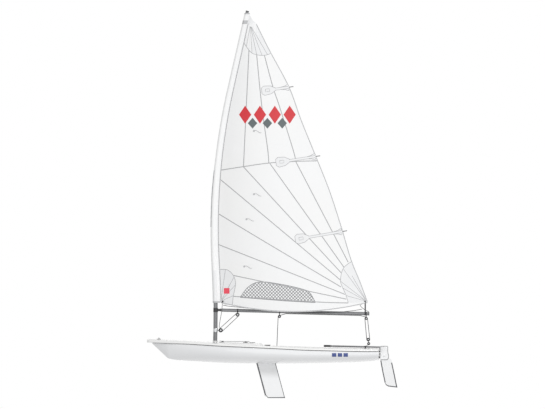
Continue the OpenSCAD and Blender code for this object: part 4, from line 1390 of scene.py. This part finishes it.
for k, point in enumerate(low_wrap):
    point.y = FALL_OVER - 2 * FALL_OVER * k / (len(low_wrap) - 1)
tackle.append(span(low_wrap))
tackle.append(span(wrap(END_BLOCK, SHEAVE, 0, 150, -FALL_OVER, 12)))
aft_tackle = rope_piece("mainsheet_tackle", tackle, None)
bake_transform(aft_tackle)

# Vang: a tackle from the mast's tang to the boom, four parts side by side in two pairs.
VANG_LOW, VANG_HIGH = spot_of_block["vang_lower_block"], spot_of_block["vang_upper_block"]
lead = VANG_HIGH - VANG_LOW
VANG_TURN = math.degrees(math.atan2(lead.z, lead.x))
LOW_WHEEL, HIGH_WHEEL = 0.0345, 0.0305
VANG_ROPE = 0.0052
vang = []
for over in (VANG_ROPE, -VANG_ROPE):
    loop = (wrap(VANG_LOW, LOW_WHEEL, VANG_TURN + 90, VANG_TURN + 270, over, 14)
            + wrap(VANG_HIGH, HIGH_WHEEL, VANG_TURN - 90, VANG_TURN + 90, over, 14))
    vang.append(span(loop + [loop[0]], VANG_ROPE))
rope_piece("vang_tackle", vang, "rig")

# Cunningham and outhaul: thin lines from the tack's eye to the mast, and along the boom's port
# side to the clew, where a strap holds the clew down to the boom.
cunningham = [TACK_EYE + Vector((0.004, 0.004, 0.0)), (0.958, 0.006, 1.020), (0.966, 0.008, 0.930),
              (0.972, 0.010, 0.860), (1.004, 0.012, 0.690), (1.016, 0.010, 0.605), (1.012, 0.006, 0.572)]
rope_piece("cunningham_line", span(cunningham, 0.0046), "rig")
cheeks = [disc(TACK_EYE + Vector((0.0, over, -0.012)), (0, 1, 0), 0.015, 0.010, 0.002, 24)
          for over in (0.016, -0.014)]
add_piece("cunningham_block", cheeks, "rig", fitting, smooth=45)
outhaul = [(0.948, 0.010, 0.985), (0.860, 0.016, 0.968), (0.700, 0.020, 0.952), (0.457, 0.026, 0.924),
           (0.150, 0.034, 0.888), (-0.180, 0.036, 0.864), (-0.520, 0.036, 0.852), (-0.853, 0.036, 0.848),
           (-1.200, 0.035, 0.860), (-1.450, 0.026, 0.888), (-1.580, 0.014, 0.912)]
rope_piece("outhaul_line", span(outhaul, 0.0048), "rig")
clew_line = [CLEW_EYE + Vector((0.010, 0.003, -0.004)), (-1.545, 0.012, 0.975), (-1.580, 0.014, 0.940),
             (-1.660, 0.010, 0.882), (-1.705, 0.006, 0.868)]
rope_piece("clew_line", span(clew_line, 0.0048), "rig")

# Webbing strap round the boom and through the clew's eye.
webbing = Finish("black_webbing", (0.03, 0.03, 0.034), 0.8)
ribs = webbing.node("ShaderNodeTexWave", {"wave_type": "BANDS", "bands_direction": "Y"},
                    {"Vector": webbing.place(), "Scale": 95.0, "Distortion": 0.3})
fluff = webbing.noise(webbing.place(), 300.0, 3.0)
webbing.feed("Base Color", webbing.blend(ribs, (0.02, 0.02, 0.023), (0.06, 0.06, 0.066)))
webbing.feed("Roughness", 0.7 + fluff * 0.2)
webbing.bump(ribs + fluff * 0.5, 0.0008, 0.7)


WEB_THICK = 0.0022


def flat_loop(name, path, width):
    """A closed band of webbing round a path in the plane across the boat, as wide along X."""
    bm = bmesh.new()
    rings = []
    for k, point in enumerate(path):
        ahead = (path[(k + 1) % len(path)] - path[k - 1]).normalized()
        out = Vector((1, 0, 0)).cross(ahead).normalized()
        rings.append([bm.verts.new(point + Vector((sx * width / 2, 0, 0)) + out * so * WEB_THICK / 2)
                      for sx, so in ((1, 1), (-1, 1), (-1, -1), (1, -1))])
    for a, b in zip(rings, rings[1:] + rings[:1]):
        edges = []
        for ring_verts in (a, b):
            edges += [bm.edges.get((ring_verts[i - 1], ring_verts[i])) or
                      bm.edges.new((ring_verts[i - 1], ring_verts[i])) for i in range(4)]
        bmesh.ops.bridge_loops(bm, edges=edges)
    bmesh.ops.recalc_face_normals(bm, faces=bm.faces)
    return made(name, bm)


boom_here = on_boom(-1.640)
strap_path = [boom_here + Vector((0, 0.0325 * math.cos(a), 0.0325 * math.sin(a)))
              for a in [math.radians(150 + 240 * k / 22) for k in range(23)]]
strap_path += [Vector((-1.640, 0.010, CLEW_EYE.z - 0.03)), CLEW_EYE + Vector((0, 0.006, 0.006)),
               CLEW_EYE + Vector((0, -0.006, 0.006)), Vector((-1.640, -0.010, CLEW_EYE.z - 0.03))]
add_piece("clew_strap", flat_loop("clew_strap", strap_path, 0.024), "rig", webbing, smooth=50)

# Deck fittings: black moulded eyes, cleats and turning blocks, each screwed down through the deck.
for name, node in (("bow_eye_fitting", "bow_eye"), ("cleat_plate", "control_cleats"),
                   ("turning_block_plate", "deck_blocks"), ("traveller_eye_fittings", "traveller_eyes"),
                   ("stern_bung", "transom_bung")):
    moulded_copy(name, node, "hull", fitting, 0.0012, 2)
moulded_copy("self_bailer", "bailer", "hull", steel, 0.0010, 2)
moulded_copy("grab_rail_tubes", "grab_rails", "hull", silver, 0.0006, 2)
CLEAT_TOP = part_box("control_cleats")[1].z
CLEAT_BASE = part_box("control_cleats")[0].z
PLATE_TOP = CLEAT_BASE + 0.008
BLOCK_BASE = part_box("deck_blocks")[0].z + 0.006
EYE_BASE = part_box("traveller_eyes")[0].z + 0.006
BOW_EYE_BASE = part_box("bow_eye")[0].z + 0.007
SCREW = (0.0042, 0.0018)  # a screw head's radius and height
screws = []
for x, y, z in ([(sx, sy, BOW_EYE_BASE) for sx in (2.085, 2.143) for sy in (-0.008, 0.008)]
                + [(sx, sy, PLATE_TOP) for sx in (0.497, 0.570) for sy in (-0.075, 0.0, 0.075)]
                + [(sx, sy, BLOCK_BASE) for sx in (0.937, 1.012) for sy in (-0.080, 0.080)]
                + [(sx, sy, EYE_BASE) for sx in (-1.656, -1.624) for sy in (-0.48, 0.48)]):
    screws.append(dome(Vector((x, y, z - 0.0003)), (0, 0, 1), *SCREW))
for y, z in [(sy, sz) for sz in (0.010, 0.088, 0.165) for sy in (0.014, -0.014)]:
    screws.append(dome(Vector((TRANSOM_X - 0.003, y, z)), (-1, 0, 0), *SCREW))
add_piece("deck_screws", screws, "hull", steel, smooth=50)

# Cam jaws: toothed grey wedges on the cleats, and the turning blocks' sheaves by the mast.
jaws = []
for y in (-0.045, 0.045):
    for side in (1, -1):
        middle = Vector((0.533, y + side * 0.012, CLEAT_TOP - 0.0065))
        jaws.append(disc(middle, (0, 0, 1), 0.0098, 0.010, 0.0012, 18))
        for k in range(7):
            a = math.radians(180 + 90 * side + (k - 3) * 20)
            tooth = middle + Vector((math.cos(a), -math.sin(a), 0)) * 0.0098
            jaws.append(disc(tooth, (0, 0, 1), 0.0012, 0.0098, 0.0003, 6))
for y in (-0.060, 0.060):
    jaws.append(disc(Vector((0.955, y, BLOCK_BASE + 0.008)), (0, 0, 1), 0.0162, 0.006, 0.0012, 28))
add_piece("cam_jaws", jaws, "hull", sheave_grey, smooth=45)

# Control lines: from the mast's foot round the turning blocks, aft through the cam cleats, each
# ending in a loop handle on the deck.
grey_line = braid("grey_braided_line", (0.05, 0.055, 0.065), (0.35, 0.37, 0.42), 0.009)
HANDLE_FRONT = 0.455
lines = []
for side in (1, -1):
    y_block, y_cleat = side * 0.060, side * 0.045
    z_line = BLOCK_BASE + 0.008
    run = [(1.010, side * 0.034, z_line + 0.012), (0.985, side * 0.040, z_line + 0.004),
           (0.950, y_block - side * 0.0185, z_line), (0.700, y_block - side * 0.020, z_line - 0.002),
           (0.590, y_cleat, CLEAT_TOP - 0.004), (0.533, y_cleat, CLEAT_TOP - 0.005),
           (0.480, y_cleat, CLEAT_TOP - 0.004)]
    lines.append(span(run, LINE))
    handle = [run[-1]]
    for k in range(25):
        a = math.tau * k / 24
        x = HANDLE_FRONT - 0.045 * (1 - math.cos(a))
        y = y_cleat + side * 0.022 * math.sin(a)
        handle.append((x, y, deck_middle(x) + 0.0052 - 0.02 * y * y))
    lines.append(span(handle, LINE))
add_piece("control_lines", lines, "hull", grey_line, smooth=60)

# Hiking strap: wide black webbing down the middle of the well, looped over a screwed plate at
# each end, with its centre sagging a little.
STRAP_HALF = 0.025
STRAP_HEIGHT = 0.1235
STRAP_SAG = 0.010
PLATE_HEIGHT = 0.136
WELL_FRONT_WALL = WELL[1] - 0.003
WELL_AFT_WALL = WELL[0] + 0.003


def strap_skin(u, v):
    x = WELL_AFT_WALL + (WELL_FRONT_WALL - WELL_AFT_WALL) * v
    sag = STRAP_SAG * math.sin(math.pi * v)
    cup = 0.0016 * math.cos(math.pi * (u - 0.5)) + 0.0008 * math.sin(31 * v)
    return Vector((x, (2 * u - 1) * STRAP_HALF, STRAP_HEIGHT - sag + cup))


strap_mesh = lofted("hiking_strap_webbing", 12, 60, strap_skin)
bm = opened(strap_mesh)
bmesh.ops.solidify(bm, geom=bm.faces[:], thickness=0.0030)
bmesh.ops.recalc_face_normals(bm, faces=bm.faces)
put_back(bm, strap_mesh)
add_piece("hiking_strap_webbing", strap_mesh, "hull", webbing, ["hiking_strap"], 50)
plates = []
for x, way in ((WELL_AFT_WALL, 1), (WELL_FRONT_WALL, -1)):
    bm = bmesh.new()
    bmesh.ops.create_cube(bm, size=1)
    bmesh.ops.scale(bm, verts=bm.verts, vec=(0.003, 0.060, 0.022))
    bmesh.ops.bevel(bm, geom=bm.edges[:], offset=0.0012, segments=3, profile=0.5, affect="EDGES", material=-1)
    bmesh.ops.translate(bm, verts=bm.verts, vec=(x + way * 0.001, 0, PLATE_HEIGHT))
    plates.append(made("plate", bm))
    for y in (-0.022, 0.022):
        plates.append(dome(Vector((x + way * 0.0025, y, PLATE_HEIGHT)), (way, 0, 0), 0.0045, 0.0020))
add_piece("strap_plates", plates, "hull", steel, smooth=45)

# Traveller: a rope bridle over the tiller, from eye to eye across the afterdeck, with its two
# ends knotted under the eyes, and the lower sheet block riding on it.
TRAVELLER = spot_of_block["traveller_block"]
EYE_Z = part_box("traveller_eyes")[1].z - 0.017
bridle = [(-1.640, 0.502, EYE_Z - 0.002), (-1.640, 0.480, EYE_Z), (-1.642, 0.466, EYE_Z + 0.001),
          (-1.700, 0.024, TRAVELLER.z - 0.012)]
over_block = [TRAVELLER + Vector((0, 0.0195 * math.sin(a), -0.0195 * math.cos(a)))
              for a in [math.radians(60 - 12 * k) for k in range(11)]]
mirrored = [(x, -y, z) for x, y, z in bridle[::-1]]
knots = []
for side in (1, -1):
    knots.append(ring(Vector((-1.640, side * 0.496, EYE_Z - 0.001)), (0.2, 1, 0.1), 0.0062, 0.0044))
    knots.append(ring(Vector((-1.641, side * 0.502, EYE_Z - 0.002)), (-0.3, 1, -0.2), 0.0056, 0.0044))
    knots.append(span([(-1.640, side * 0.500, EYE_Z), (-1.646, side * 0.516, EYE_Z - 0.006),
                       (-1.653, side * 0.524, EYE_Z - 0.018)], 0.0042))
rope_piece("traveller_line", [span(bridle + over_block + mirrored, BRIDLE)] + knots, "hull")

# Three short plain navy blocks of film stand in a row on each side of the hull near the stern.
navy = marking("navy_stripe_film", (0.055, 0.085, 0.27))


def hull_side(x, z, side, proud):
    """The point of the hull's skin at this x and height, on one side."""
    sheer = fair(LINES, x, 3)
    beam = half_beam(x) - fair(LINES, x, 2)
    full = fair(LINES, x, 7)
    share = min(max((sheer - z) / (sheer - keel(x)), 0), 1)
    y = beam * (1 - share ** full) ** (1 / full)
    return Vector((x, side * (y + proud), z))


BLOCK_START, BLOCK_STEP, BLOCK_LENGTH = -1.035, 0.105, 0.080
BLOCK_LOW, BLOCK_HIGH = 0.046, 0.112
FILM = 0.0012


def film_block(side, start):
    return lofted("block", 6, 6, lambda u, v: hull_side(
        start - BLOCK_LENGTH * u, BLOCK_LOW + (BLOCK_HIGH - BLOCK_LOW) * v, side, 0.0016))


blocks = add_piece("hull_stripes", [film_block(side, BLOCK_START - BLOCK_STEP * k)
                                    for side in (1, -1) for k in range(3)],
                   "hull", navy, smooth=60)
thicken_wall(blocks, FILM, 0)

# Transom strip with the two eyes for the rudder: one black moulding, riveted on.
moulded_copy("transom_gudgeons", "gudgeons", "hull", fitting, 0.0)

# Daggerboard: a white moulded foil with a round nose and a fine trailing edge. Its head has a
# black stop that rests on the deck, and dark moulded guards cover its edges.
foil = Finish("white_foil_gelcoat", (0.84, 0.845, 0.85), 0.24, Coat_Weight=0.3, Coat_Roughness=0.1)
spot = foil.place()
cloudy = foil.noise(spot, 3.0, 5.0)
fine_grain = foil.noise(spot, 90.0, 2.0)
rubs = foil.ramp(foil.noise(foil.place(scale=(1, 8, 1), turn=(0, 0.26, 0)), 6.0, 8.0, 0.7), 0.56, 0.74)
tone = foil.blend(cloudy, (0.80, 0.806, 0.815), (0.86, 0.864, 0.868))
foil.feed("Base Color", foil.blend(rubs * 0.25, tone, (0.62, 0.63, 0.63)))
foil.feed("Roughness", 0.2 + fine_grain * 0.08 + rubs * 0.16)
foil.bump(fine_grain * 0.5 + cloudy, 0.0005, 0.5)
foil_edge = grainy("foil_edge_guard", (0.085, 0.088, 0.095), 0.5, (60.0, 6.0, 0.65),
                   (0.06, 0.062, 0.067), (0.14, 0.143, 0.15), (0.42, 0.25), (0.0006, 0.5))

NOSE = 0.0105             # half of the board's thickness


def edge_guard(line, inward, width=0.020, over=0.0010, bevel=0.0022):
    """A moulded channel over a blade's edge: its line of x and z, and the way into the blade."""
    points = [Vector(p) for p in line]
    inner = [p + Vector(inward) * width for p in points]
    outline = [p - Vector(inward) * over for p in points] + inner[::-1]
    mesh = flat_prism(outline, -NOSE - 0.0009, NOSE + 0.0009)
    bm = opened(mesh)
    bmesh.ops.bevel(bm, geom=list(bm.edges), offset=bevel, segments=2, profile=0.5, affect="EDGES",
                    material=-1, clamp_overlap=True)
    put_back(bm, mesh)
    return mesh


moulded_copy("daggerboard_foil", "daggerboard", "daggerboard", foil, 0.0, smooth=40)
BOARD_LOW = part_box("daggerboard")[0].z
BOARD_CHORD = 0.341
INTO_BOARD = (-math.cos(RAKE_ANGLE), math.sin(RAKE_ANGLE))
tail_x = BOARD_X - BOARD_CHORD / math.cos(RAKE_ANGLE)
board_nose = [Vector((BOARD_X - NOSE + z * RAKE, 0, z)) for z in (0.20, 0.0, -0.2, -0.4, BOARD_LOW + 0.045)]
board_tail = [Vector((tail_x + 0.006 + z * RAKE, 0, z)) for z in (0.20, 0.0, -0.3, BOARD_LOW + 0.006)]
nose_line = [(p.x, p.z) for p in board_nose]
guards = [
    tube("guard", board_nose, NOSE + 0.0009, 16),
    edge_guard(nose_line, INTO_BOARD, 0.014, 0.0, 0.0006),
    tube("guard", board_tail, 0.0062, 12),
    edge_guard([(0.164, BOARD_LOW + 0.040), (0.130, BOARD_LOW), (tail_x + BOARD_LOW * RAKE, BOARD_LOW)],
               (-0.2, 0.98), 0.016),
]
add_piece("daggerboard_edges", guards, "daggerboard", foil_edge, smooth=60)
moulded_copy("daggerboard_stop", "board_stop", "daggerboard", fitting, 0.0020, 3)

# Rudder: a white moulded head hung on two pins at the transom, with a kick-up blade on a bolt.
moulded_copy("rudder_head_moulding", "rudder_head", "rudder", foil, 0.0012, 2)
moulded_copy("rudder_pintles", "pintles", "rudder", steel, 0.0)
moulded_copy("rudder_blade_foil", "rudder_blade", "rudder_blade", foil, 0.0, smooth=40)
moulded_copy("rudder_bolt", "blade_bolt", "rudder", steel, 0.0)
BOLT = Vector((-1.985, 0, 0.050))
HEAD_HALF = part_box("rudder_head")[1].y
washers = []
for side in (1, -1):
    for proud, *shape in ((0.0008, 0.013, 0.0016, 0.0005, 28), (0.0036, 0.0085, 0.0045, 0.0010, 6)):
        washers.append(disc(BOLT + Vector((0, side * (HEAD_HALF + proud), 0)), (0, side, 0), *shape))
add_piece("rudder_washers", washers, "rudder", steel, smooth=40)
HEAD_OUTLINE = [(-1.917, 0.238), (-2.050, 0.238), (-2.050, 0.150), (-2.052, 0.122), (-2.068, 0.060),
                (-2.060, 0.020), (-2.040, -0.008), (-1.917, -0.008)]
rims = []
for side in (1, -1):
    path = [Vector((x, side * (HEAD_HALF - 0.0008), z)) for x, z in HEAD_OUTLINE]
    dense = []
    for a, b in zip(path, path[1:]):
        dense += [a.lerp(b, k / 6) for k in range(6)]
    rims.append(tube("rim", dense + [path[-1]], 0.0046, 10))
add_piece("rudder_head_rims", rims, "rudder", foil_edge, smooth=60)
BLADE_FRONT = [(-1.915, -0.022), (-1.950, -0.222), (-1.993, -0.420)]
BLADE_BACK = [(-2.223, -0.512), (-2.177, -0.282), (-2.129, -0.060)]
BLADE_FOOT = [(-1.993, -0.420), (-2.016, -0.468), (-2.057, -0.493), (-2.223, -0.514)]
blade_guards = [edge_guard(BLADE_FRONT, (-1, 0)), edge_guard(BLADE_BACK, (1, 0)),
                edge_guard(BLADE_FOOT, (-0.15, 0.99), 0.018)]
add_piece("rudder_blade_edges", blade_guards, "rudder_blade", foil_edge, smooth=60)

# A black tube over the hinge pin fills the gap between the transom's two eyes.
PINTLE_X = -1.906
pin_guards = [tube("pin", [(PINTLE_X, 0, z) for z in heights], 0.0088, 16)
              for heights in ((0.044, 0.046, 0.066, 0.068), (0.070, 0.075, 0.100, 0.117, 0.122),
                              (0.158, 0.160, 0.205, 0.208))]
add_piece("rudder_pin_guard", pin_guards, "rudder", rubber, smooth=60)

# Tiller: an anodised tube through the rudder head, a rubber universal joint at its front, and a
# lighter extension folded back beside it with a ribbed rubber grip.
moulded_copy("tiller_tube", "tiller", "rudder", boom_alloy, 0.0008, 2)
moulded_copy("tiller_rubber_joint", "tiller_joint", "rudder", rubber, 0.0020, 3)
moulded_copy("tiller_extension_tube", "tiller_extension", "rudder", silver, 0.0008, 2)
TILLER_RISE = math.radians(1.3)
TILLER_WAY = Vector((math.cos(TILLER_RISE), 0, math.sin(TILLER_RISE)))
TILLER_FROM = Vector((-1.703, 0, 0.226))


def on_tiller(ahead, over=0.0):
    return TILLER_FROM + TILLER_WAY * ahead + Vector((0, over, 0))


EXTENSION = -0.038        # the extension lies this far to starboard of the tiller
GRIP_FROM, GRIP_LENGTH, GRIP_RIBS = -0.136, 0.300, 22
grip_line = [on_tiller(GRIP_FROM + GRIP_LENGTH * k / 90, EXTENSION) for k in range(91)]
cap_line = [on_tiller(ahead, EXTENSION) for ahead in (0.778, 0.784, 0.7855)]
grips = [tube("grip", grip_line, lambda t: 0.0116 + 0.0009 * math.sin(t * math.tau * GRIP_RIBS), 20),
         tube("cap", cap_line, lambda t: 0.0108 if t < 0.9 else 0.008, 20)]
add_piece("extension_grip", grips, "rudder", rubber, smooth=60)
collars = [ring(on_tiller(ahead), TILLER_WAY, radius, thick)
           for ahead, radius, thick in ((0.700, 0.0185, 0.0016), (0.806, 0.0185, 0.0016),
                                        (-0.200, 0.0155, 0.0022), (0.660, 0.0152, 0.0018))]
add_piece("tiller_clips", collars, "rudder", steel, smooth=60)
